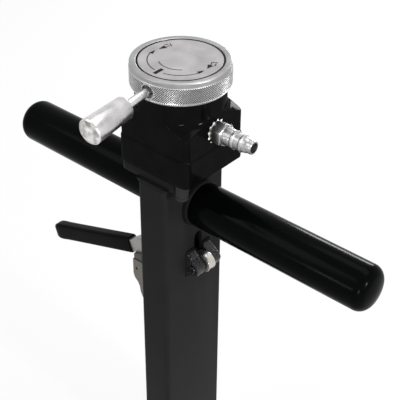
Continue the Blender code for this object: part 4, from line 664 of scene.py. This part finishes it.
marks = [
    bar_mark("mark_neutral", 25.2 * MM, 270.5, 9.2 * MM, 3.2 * MM, 270.5),
    arc_mark("mark_arc_lower", 25.6 * MM, 281.5, 350, 0.8 * MM),
    arc_mark("mark_arc_lift", 25.6 * MM, 195, 262.5, 0.8 * MM),
    arc_mark("mark_arc_inner", 17.0 * MM, 235, 316, 0.8 * MM),
    wedge_mark("mark_arrow_lower", 24.8 * MM, 347.5, 6.2 * MM, 3.6 * MM, 79),
    wedge_mark("mark_arrow_lift", 24.6 * MM, 194, 6.2 * MM, 3.6 * MM, 102),
    wedge_mark("mark_wedge_lower", 24.4 * MM, 14, 6.2 * MM, 5.0 * MM, 284),
    wedge_mark("mark_wedge_lift", 23.5 * MM, 167, 6.4 * MM, 5.0 * MM, 257),
    bar_mark("mark_dash_lower_1", 24.2 * MM, 24, 3.6 * MM, 0.8 * MM, 114),
    bar_mark("mark_dash_lower_2", 27.6 * MM, 23, 3.6 * MM, 0.8 * MM, 113),
    bar_mark("mark_dash_lower_3", 26.0 * MM, 30, 5.4 * MM, 0.8 * MM, 30),
    bar_mark("mark_dash_lift_1", 23.6 * MM, 157, 3.4 * MM, 0.8 * MM, 67),
    bar_mark("mark_dash_lift_2", 26.6 * MM, 157, 3.4 * MM, 0.8 * MM, 67),
    bar_mark("mark_dash_lift_3", 25.0 * MM, 150, 4.6 * MM, 0.8 * MM, 150),
]
for mark in marks:
    smooth(mark, 30)
    hand_over(mark, PRINT, "dial_plate", hides=False)

# %% [markdown]
# ## The tommy handle
# A steel rod screws into the rim and carries a tapered aluminium grip, turned and left bright. Both are turned
# about their own axis and then laid along it. The grip's tool rings need that axis too, so its material is
# centred on the rod and turned to lie along it.
# %% Model the tommy rod and grip
TOMMY_TURN = along(TOMMY_HEADING).to_euler()
GRIP_METAL = turned_metal("turned_grip_aluminium", "#b8b6b6", "#e4e2e2", 0.3, TOMMY_ROOT,
                          tuple(along(TOMMY_HEADING).inverted().to_euler()), 0.7 * MM, 0.00003)
tommy_rod = turn_piece("tommy_bar", [(3.2 * MM, -17 * MM), (3.6 * MM, -16.4 * MM), (3.6 * MM, 39 * MM), (3.2 * MM, 39.6 * MM)], 64)
settle(tommy_rod, along(TOMMY_HEADING, TOMMY_ROOT))
smooth(tommy_rod)
hand_over(tommy_rod, ROD_NICKEL, "tommy_rod")
tommy_grip = turn_piece("tommy_handle", [
    (3.9 * MM, 22 * MM), (5.0 * MM, 22 * MM), (5.4 * MM, 22.4 * MM), (5.4 * MM, 24.5 * MM), (8.0 * MM, 24.5 * MM),
    (8.6 * MM, 24.8 * MM), (9.0 * MM, 25.6 * MM), (10.35 * MM, 61.2 * MM), (10.3 * MM, 61.9 * MM), (9.7 * MM, 62.7 * MM),
    (9.3 * MM, 63.0 * MM), (0.3 * MM, 63.0 * MM), (0.3 * MM, 40 * MM), (3.9 * MM, 40 * MM)], 128, ring=True)
settle(tommy_grip, along(TOMMY_HEADING, TOMMY_ROOT))
smooth(tommy_grip, 28)
hand_over(tommy_grip, GRIP_METAL, "tommy_grip")
# The faced end gets its own metal, mottled from dark brownish grey to near white: painted reflection of dark
# surroundings.
tommy_grip.data.materials.append(metal("faced_end_painted_reflection", "#7a7672", "#f8f7f6", 0.25, 150.0))
for face in tommy_grip.data.polygons:
    reach = (face.center - TOMMY_ROOT).dot(TOMMY_HEADING)
    face.material_index = 1 if reach > 62.6 * MM else 0

# %% [markdown]
# ## The air inlet
# The inlet is a male coupling plug: a hexagon for the spanner, a shank with two collars that the coupling's balls
# lock behind, and a bored tip. It is turned about X. The hexagon is a six-sided piece whose corners are cut by
# a cone, as on every turned nut. A toothed washer sits under it, and its bright teeth show round the flats.
# %% Model the plug and its washer
INLET_SEAT = Vector((35.9 * MM, 0, 372.7 * MM))
plug = turn_piece("coupling_plug", [
    (4.3 * MM, 37.3 * MM), (4.9 * MM, 37.3 * MM), (5.4 * MM, 37.0 * MM), (5.5 * MM, 36.4 * MM), (5.5 * MM, 33.1 * MM),
    (6.0 * MM, 32.2 * MM), (6.3 * MM, 30.4 * MM), (6.3 * MM, 28.8 * MM), (7.1 * MM, 28.1 * MM), (7.2 * MM, 27.4 * MM),
    (7.0 * MM, 26.6 * MM), (6.5 * MM, 25.9 * MM), (6.6 * MM, 21.4 * MM), (7.5 * MM, 20.6 * MM), (7.6 * MM, 19.9 * MM),
    (7.5 * MM, 18.75 * MM), (6.9 * MM, 17.9 * MM), (7.4 * MM, 14.0 * MM), (7.6 * MM, 9.8 * MM), (5.6 * MM, 9.8 * MM),
    (5.6 * MM, -7.7 * MM), (2.6 * MM, -7.7 * MM), (2.6 * MM, 25.3 * MM), (4.3 * MM, 26.3 * MM)], 96, ring=True)
hexagon = turn_piece("plug_hexagon", [(9.82 * MM, 1.3 * MM), (9.82 * MM, 10.8 * MM)], 6)
settle(hexagon, Matrix.Rotation(math.radians(30), 4, "Z"))
cone = turn_piece("hexagon_cone", [(9.2 * MM, 1.25 * MM), (9.9 * MM, 1.7 * MM), (9.9 * MM, 9.6 * MM), (7.7 * MM, 10.9 * MM)], 96)
carve(hexagon, cone, "INTERSECT")
ease_edges(hexagon, 0.25 * MM, 50)
carve(plug, hexagon, "UNION")
settle(plug, along((1, 0, 0), INLET_SEAT))
smooth(plug, 28)
hand_over(plug, NICKEL, "air_inlet")
washer = turn_piece("toothed_washer", [(5.9 * MM, 0), (9.8 * MM, 0), (9.8 * MM, 0.4 * MM), (6.6 * MM, 1.3 * MM), (5.9 * MM, 1.3 * MM)],
                    72, ring=True)
for vertex in washer.data.vertices:
    tooth = round(math.atan2(vertex.co.y, vertex.co.x) / math.tau * 72)
    reach = math.hypot(vertex.co.x, vertex.co.y)
    if reach > 9 * MM:
        factor = (10.2 if tooth % 6 == 4 else 9.6 if tooth % 6 > 2 else 8.4) / 9.8
        vertex.co = (vertex.co.x * factor, vertex.co.y * factor, vertex.co.z + (0.4 * MM if tooth % 6 == 4 else 0))
settle(washer, along((1, 0, 0), INLET_SEAT))
smooth(washer, 20)
hand_over(washer, WASHER_ZINC, "inlet_washer")

# %% [markdown]
# ## The T-bar's grips and collars
# Each grip is a long sleeve with a closed, slightly crowned end. The edge of the end is an arc of the profile,
# walked in small steps, so the light slides round it without a break. The right-hand grip is made first. The left one is its own
# turned piece, laid along the other way, because a mirrored copy would be inside out.
# %% Model the grips and collars
GRIP_END, GRIP_RADIUS, END_ROUND = 188.7 * MM, 19.2 * MM, 9.5 * MM
grip_profile = [(13.3 * MM, 180 * MM), (13.3 * MM, 19.6 * MM), (17.6 * MM, 19.6 * MM), (18.5 * MM, 20.0 * MM),
                (19.0 * MM, 20.7 * MM), (GRIP_RADIUS, 21.8 * MM), (GRIP_RADIUS, GRIP_END - END_ROUND - 1.2 * MM)]
for step in range(1, 11):
    angle = math.radians(75) * step / 10
    grip_profile.append((GRIP_RADIUS - END_ROUND * (1 - math.cos(angle)), GRIP_END - 1.2 * MM - END_ROUND * (1 - math.sin(angle))))
grip_profile += [(9 * MM, GRIP_END - 0.85 * MM), (6 * MM, GRIP_END - 0.37 * MM), (3 * MM, GRIP_END - 0.09 * MM),
                 (0.2 * MM, GRIP_END), (0.2 * MM, 180 * MM)]
collar_profile = [(13.3 * MM, 15.3 * MM), (19.9 * MM, 15.3 * MM), (20.2 * MM, 15.6 * MM), (20.2 * MM, 18.2 * MM),
                  (19.9 * MM, 18.9 * MM), (19.2 * MM, 19.3 * MM), (13.3 * MM, 19.3 * MM)]
for side, heading in (("right", (1, 0, 0)), ("left", (-1, 0, 0))):
    grip = turn_piece("vinyl_grip_" + side, grip_profile, 160, ring=True)
    settle(grip, along(heading, (0, BAR_Y, BAR_Z)))
    smooth(grip, 40)
    hand_over(grip, GRIP_VINYL, "grip_" + side)
    collar = turn_piece("bar_collar_" + side, collar_profile, 160, ring=True)
    settle(collar, along(heading, (0, BAR_Y, BAR_Z)))
    smooth(collar, 40)
    hand_over(collar, PLATE_PAINT, "grip_collar_" + side)

# %% [markdown]
# ## The pivot ears
# Two forged ears hold the lever's pin. They are welded to the column and painted with it. The CAD copy is merged
# and its flats are dissolved. A voxel remesh then gives it an even grid of small faces, and the Displace modifier
# pushes that grid in and out by a cloud pattern 1.5 mm across, as forging scale does. A bead of weld runs round each
# root. It is a row of overlapping ripples on a real one, so each bead is turned from a profile that swells in steps.
# %% Model the ears, the pin and the welds
PIVOT = Vector((22 * MM, BAR_Y, 233.8 * MM))
MILL_SCALE = bpy.data.textures.new("mill_scale", "CLOUDS")
MILL_SCALE.noise_scale = 1.5 * MM
MILL_SCALE.noise_depth = 1
for side in ("front", "rear"):
    ear = copy_node("pivot_ear_" + side)
    ear.name = "forged_ear_" + side
    remesh = ear.modifiers.new("voxels", "REMESH")
    remesh.mode = "VOXEL"
    remesh.voxel_size = 0.5 * MM
    apply_modifier(ear, remesh)
    lumps = ear.modifiers.new("lumps", "DISPLACE")
    lumps.texture = MILL_SCALE
    lumps.texture_coords = "LOCAL"
    lumps.strength = 0.9 * MM
    lumps.mid_level = 0.62
    apply_modifier(ear, lumps)
    smooth(ear, 60)
    hand_over(ear, FORGED_PAINT, "pivot_ear_" + side)
pin = turn_piece("hollow_pin", [(1.5 * MM, -16 * MM), (2.6 * MM, -16 * MM), (3.0 * MM, -15.5 * MM), (3.0 * MM, 15.5 * MM),
                                (2.6 * MM, 16 * MM), (1.5 * MM, 16 * MM)], 64, ring=True)
settle(pin, along((0, 1, 0), PIVOT))
smooth(pin)
hand_over(pin, FORGED_PAINT, "pivot_pin")


def weld_bead(name, start, end, radius, node):
    """Ripples of weld between two points."""
    start, end = Vector(start), Vector(end)
    length = (end - start).length
    ripples = max(3, round(length / (1.3 * MM)))
    profile = [(0.3 * radius, 0)]
    for step in range(ripples * 4 + 1):
        share = step / (ripples * 4)
        swell = radius * (0.86 + 0.14 * math.cos(share * ripples * math.tau))
        swell *= min(1.0, 0.55 + 6 * min(share, 1 - share))
        profile.append((swell, length * (0.02 + 0.96 * share)))
    profile.append((0.3 * radius, length))
    bead = turn_piece(name, profile, 20)
    settle(bead, along((end - start).normalized(), start))
    smooth(bead, 60)
    return hand_over(bead, COLUMN_PAINT, node, hides=False)


for side, near, far in (("front", -0.7, -10.7), ("rear", 8.7, 18.7)):
    near, far = near * MM, far * MM
    node = "pivot_ear_" + side
    weld_bead("ear_weld_top_" + side, (15.5 * MM, near, 248.3 * MM), (15.5 * MM, far, 248.3 * MM), 1.5 * MM, node)
    weld_bead("ear_weld_side_" + side, (15.5 * MM, far, 248.6 * MM), (15.5 * MM, far, 222.6 * MM), 1.3 * MM, node)

# %% [markdown]
# ## The lever
# The lever is folded from 1.4 mm zinc-plated strip. It rounds the pivot as a nose, passes through the column as
# a tall, thin channel and ends as a tang in the grip. The CAD shape has the right folds, so a cleaned copy is
# eased at its edges. The grip is a moulded sleeve, taller than it is wide. It starts as a short rounded block at
# the mouth, and its end face is extruded and resized along the grip, with small steps where the end is round.
# %% Model the lever and its grip
lever_strip = copy_node("lever_channel", 0.25 * MM, 50)
lever_strip.name = "folded_lever"
# Faces in front of the column's +X face get the brighter zinc, and the rest of the strip gets the darker one.
hand_over(lever_strip, DARKER_ZINC, "lever_channel")
lever_strip.data.materials.append(ZINC)
for face in lever_strip.data.polygons:
    face.material_index = 1 if face.center.x > 15 * MM else 0

SLOPE, BEND = math.radians(18.2), math.radians(18.9)
touch = Vector((-math.sin(SLOPE), math.cos(SLOPE))) * 9.8 * MM
mouth_z = touch.y - (86.4 * MM + touch.x) * math.tan(SLOPE)
GRIP_ROOT = PIVOT + Vector((-86.4 * MM + math.sin(SLOPE) * 6 * MM, 0, mouth_z - math.cos(SLOPE) * 6 * MM))


def sloping(angle):
    """Matrix that lays +Z down a slope from the grip's mouth, with +X as the sleeve's height."""
    lean, drop = -math.cos(angle), -math.sin(angle)
    return Matrix.Translation(GRIP_ROOT) @ Matrix(((drop, 0, lean, 0), (0, 1, 0, 0), (-lean, 0, drop, 0), (0, 0, 0, 1)))


def choose_end(piece):
    """Selects the faces that look up +Z, in edit mode."""
    pick_up(piece, edit=True)
    bpy.ops.mesh.select_mode(type="FACE")
    bpy.ops.mesh.select_all(action="DESELECT")
    bpy.ops.object.mode_set(mode="OBJECT")
    for face in piece.data.polygons:
        face.select = face.normal.z > 0.9
    bpy.ops.object.mode_set(mode="EDIT")


lever_grip = block("lever_handle", (-7.82 * MM, -5.13 * MM, 0), (7.82 * MM, 5.13 * MM, 1.36 * MM), 2.8 * MM, 8)
choose_end(lever_grip)
bpy.ops.transform.resize(value=(1 / 0.96, 1 / 0.95, 1), center_override=(0, 0, 1.36 * MM))
reach, tall, wide = 1.36, 1.0, 1.0
for next_reach, next_tall, next_wide in (
    (34, 1, 1), (66, 1, 1), (92, 1.01, 1), (100, 1.04, 1.04), (103.4, 1.03, 1.03), (106, 0.97, 0.98),
    (108, 0.86, 0.88), (109.4, 0.7, 0.72), (110.2, 0.5, 0.52), (110.5, 0.3, 0.3)
):
    bpy.ops.mesh.extrude_region_move(TRANSFORM_OT_translate={"value": (0, 0, (next_reach - reach) * MM)})
    bpy.ops.transform.resize(value=(next_tall / tall, next_wide / wide, 1), center_override=(0, 0, next_reach * MM))
    reach, tall, wide = next_reach, next_tall, next_wide
put_down()
settle(lever_grip, sloping(BEND))
pocket = block("grip_pocket", (-6.3 * MM, -4.3 * MM, -4 * MM), (6.3 * MM, 4.3 * MM, 31.9 * MM))
settle(pocket, sloping(SLOPE))
carve(lever_grip, pocket)
smooth(lever_grip, 40)
hand_over(lever_grip, LEVER_ABS, "lever_grip")

# %% [markdown]
# ## The bracket and its screws
# The bracket that the lever rests on is pressed from zinc-plated sheet. Its cleaned copy gets rounded folds. The
# socket screws are turned, and the hexagon in each head is cut by a six-sided piece.
# %% Model the bracket, pad and screws
bracket = copy_node("lever_bracket", 0.5 * MM, 50)
bracket.name = "pressed_bracket"
hand_over(bracket, BRACKET_ZINC, "lever_bracket")
pad = copy_node("stop_pad", 0.6 * MM, 30)
pad.name = "rubber_stop"
hand_over(pad, PAD_RUBBER, "stop_pad")


def socket_screw(name, node, radius, length, cap, depth, socket, at, heading):
    """Cap screw: the underside of its cap is at the place, and its shank runs along the heading."""
    screw = turn_piece(name, [
        (cap - 0.15 * depth, -depth), (cap, -0.85 * depth), (cap, -0.1 * depth), (cap - 0.1 * depth, 0), (radius, 0),
        (radius, length - 0.6 * radius), (0.7 * radius, length)], 48)
    key = turn_piece("hex_key", [(socket * 1.155, -depth - MM), (socket * 1.155, -0.45 * depth)], 6)
    carve(screw, key)
    settle(screw, along(heading, at))
    smooth(screw, 30)
    return hand_over(screw, ZINC, node)


for index, (x, y) in enumerate(SCREW_PLACES):
    socket_screw("head_bolt_%d" % (index + 1), "head_screw_%d" % (index + 1), 3 * MM, 20 * MM, 5 * MM, 4.7 * MM,
                 2.5 * MM, (x, y, 330.3 * MM), (0, 0, 1))
for index, height in enumerate((157.5 * MM, 146.5 * MM)):
    socket_screw("bracket_bolt_%d" % (index + 1), "bracket_screw_%d" % (index + 1), 2.5 * MM, 11 * MM, 4.2 * MM,
                 2.6 * MM, 1.6 * MM, (-17.6 * MM, BAR_Y, height), (1, 0, 0))
socket_screw("guide_bolt", "foot_guide_screw", 2.5 * MM, 8.4 * MM, 4.2 * MM, 2.6 * MM, 1.6 * MM,
             (-15.3 * MM, BAR_Y, 47 * MM), (1, 0, 0))

# %% [markdown]
# ## The hidden works
# The pieces inside the column and the head keep their CAD shapes, because little of them is seen: a glimpse in the
# slots, and the view up the foot of the tube. Each still gets the material that it is made of. The latch's spring
# is shortened from 40 mm to 33.7 mm as the lever is squeezed, and its copy gets a mesh of its own.
# %% Dress the inner CAD nodes
for node, material in (
    ("spindle_bush", BRONZE), ("dust_seal", RUBBER), ("outlet_union", BRONZE), ("hose_fitting", BRONZE),
    ("crossbar_tube", STEEL), ("rod_guide", NYLON), ("foot_guide", NYLON), ("knob_screw", ZINC), ("spindle", STEEL),
    ("cam_pin", STEEL), ("centring_spring", SPRING_STEEL), ("cam_sleeve", STEEL), ("control_rod_nut", ZINC),
    ("valve_spool", STEEL), ("latch_pin", STEEL), ("spring_collar", STEEL),
):
    mesh = frame["nodes"][node].data
    mesh.materials.clear()
    mesh.materials.append(material)
for name, node, radius, low, high, at, material in (
    ("hose_tube", "air_hose", 5.0, 28.3, 326.0, (0, 24), RUBBER),
    ("control_bar", "control_rod", 3.0, 12.0, 346.1, (0, -22), STEEL),
    ("latch_bar", "latch_rod", 2.2, 12.0, 231.5, (-2, 4), STEEL),
):
    piece = turn_piece(name, [((radius - 0.4) * MM, low * MM), (radius * MM, (low + 0.4) * MM),
                              (radius * MM, (high - 0.4) * MM), ((radius - 0.4) * MM, high * MM)], 48)
    settle(piece, Matrix.Translation((at[0] * MM, at[1] * MM, 0)))
    smooth(piece)
    hand_over(piece, material, node)
coils = copy_node("latch_spring")
coils.name = "latch_coils"
hand_over(coils, SPRING_STEEL, "latch_spring")
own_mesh(coils)

# %% [markdown]
# ## Floor, light and camera
# The photograph has no floor in sight, only white. The world shows white to the camera, to the reflections and
# through anything clear, while a weaker grey lights the object. The floor is pale and does the same, but only four
# fifths of it glows, so the object's shadow still shows on the rest. A large soft lamp stands over the left
# shoulder of the camera and a second one overhead. A narrow one lies low behind for the streak along the right
# grip, and two small ones give the bright points on its end.
# %% Build the floor and the world
put_down()
bpy.ops.mesh.primitive_plane_add(size=8, location=(0, 0, -0.0005))
floor = bpy.context.object
floor.name = "floor"
floor_paint, floor_tree, floor_shader = new_material("pale_floor", "#f2f2f2", 0.0, 0.8, 0.2)


def white_ray(tree, level):
    """Is the ray one that should see the white studio: from the camera, a reflection or through something clear."""
    ray = add(tree, "ShaderNodeLightPath").outputs
    first = add(tree, "ShaderNodeMath", {0: ray["Is Camera Ray"], 1: ray["Is Glossy Ray"]}, operation="MAXIMUM")
    every = add(tree, "ShaderNodeMath", {0: first.outputs[0], 1: ray["Is Transmission Ray"]}, operation="MAXIMUM")
    return add(tree, "ShaderNodeMath", {0: every.outputs[0], 1: level}, operation="MULTIPLY").outputs[0]


glow = add(floor_tree, "ShaderNodeEmission", {"Color": (1, 1, 1, 1), "Strength": 1.0})
pick = add(floor_tree, "ShaderNodeMixShader", {0: white_ray(floor_tree, 0.8)})
floor_tree.links.new(floor_shader.outputs["BSDF"], pick.inputs[1])
floor_tree.links.new(glow.outputs["Emission"], pick.inputs[2])
floor_tree.links.new(pick.outputs["Shader"], floor_tree.nodes["Material Output"].inputs["Surface"])
floor.data.materials.append(floor_paint)

world = bpy.data.worlds.new("studio")
bpy.context.scene.world = world
world.use_nodes = True
sky = world.node_tree
sky.nodes.clear()
soft_grey = add(sky, "ShaderNodeBackground", {"Color": (1, 1, 1, 1), "Strength": 0.37})
white = add(sky, "ShaderNodeBackground", {"Color": (1, 1, 1, 1), "Strength": 1.0})
choose = add(sky, "ShaderNodeMixShader", {0: white_ray(sky, 1.0)})
sky.links.new(soft_grey.outputs[0], choose.inputs[1])
sky.links.new(white.outputs[0], choose.inputs[2])
out = add(sky, "ShaderNodeOutputWorld")
sky.links.new(choose.outputs[0], out.inputs["Surface"])


# %% Hang the lamps


def lamp(name, place, target, width, depth, power):
    put_down()
    bpy.ops.object.light_add(type="AREA", location=place)
    light = bpy.context.object
    light.name = name
    light.data.shape = "RECTANGLE"
    light.data.size, light.data.size_y = width, depth
    light.data.energy = power
    light.rotation_euler = (Vector(target) - Vector(place)).to_track_quat("-Z", "Y").to_euler()
    return light


lamp("key", (-0.9, -1.1, 1.6), (0, 0, 0.3), 0.9, 0.9, 8)
lamp("top", (0.1, 0.5, 1.9), (0, 0, 0.3), 1.6, 0.7, 11)
lamp("side", (1.6, -0.09, 0.78), (0.1, 0, 0.3), 0.2, 0.34, 15)
lamp("low", (-0.39, -1.39, 0.51), (0.1, 0, 0.3), 0.2, 0.12, 1.6)
lamp("front", (1.15, -1.25, 0.45), (0, 0, 0.37), 0.3, 0.3, 7)
lamp("streak", (-0.35, 1.4, 0.6), (0.1, 0, 0.3), 0.5, 0.25, 10)

# %% [markdown]
# The camera stands where the photographer's did. Its place, lens and tilt come from a fit of the object's known
# edges and circles to the photograph. The lens is long, so the far grip is only a little smaller than the near one.
# %% Set up the camera
AZIMUTH, ELEVATION, ROLL = (math.radians(angle) for angle in (40.74, 35.61, -0.46))
put_down()
bpy.ops.object.camera_add(location=(0.4634, -0.5144, 0.7863))
camera = bpy.context.object
forward = Vector((-math.sin(AZIMUTH) * math.cos(ELEVATION), math.cos(AZIMUTH) * math.cos(ELEVATION), -math.sin(ELEVATION)))
right = Vector((math.cos(AZIMUTH), math.sin(AZIMUTH), 0))
down = forward.cross(right)
rolled_right = math.cos(ROLL) * right + math.sin(ROLL) * down
rolled_down = -math.sin(ROLL) * right + math.cos(ROLL) * down
camera.rotation_mode = "QUATERNION"
camera.rotation_quaternion = Matrix((rolled_right, -rolled_down, -forward)).transposed().to_quaternion()
camera.data.lens = 92.1
camera.data.sensor_width = 36
camera.data.clip_start, camera.data.clip_end = 0.01, 20
scene = bpy.context.scene
scene.camera = camera
scene.view_settings.view_transform = "Standard"

# %% [markdown]
# The last cell puts everything down.
# %% Put everything down
put_down()
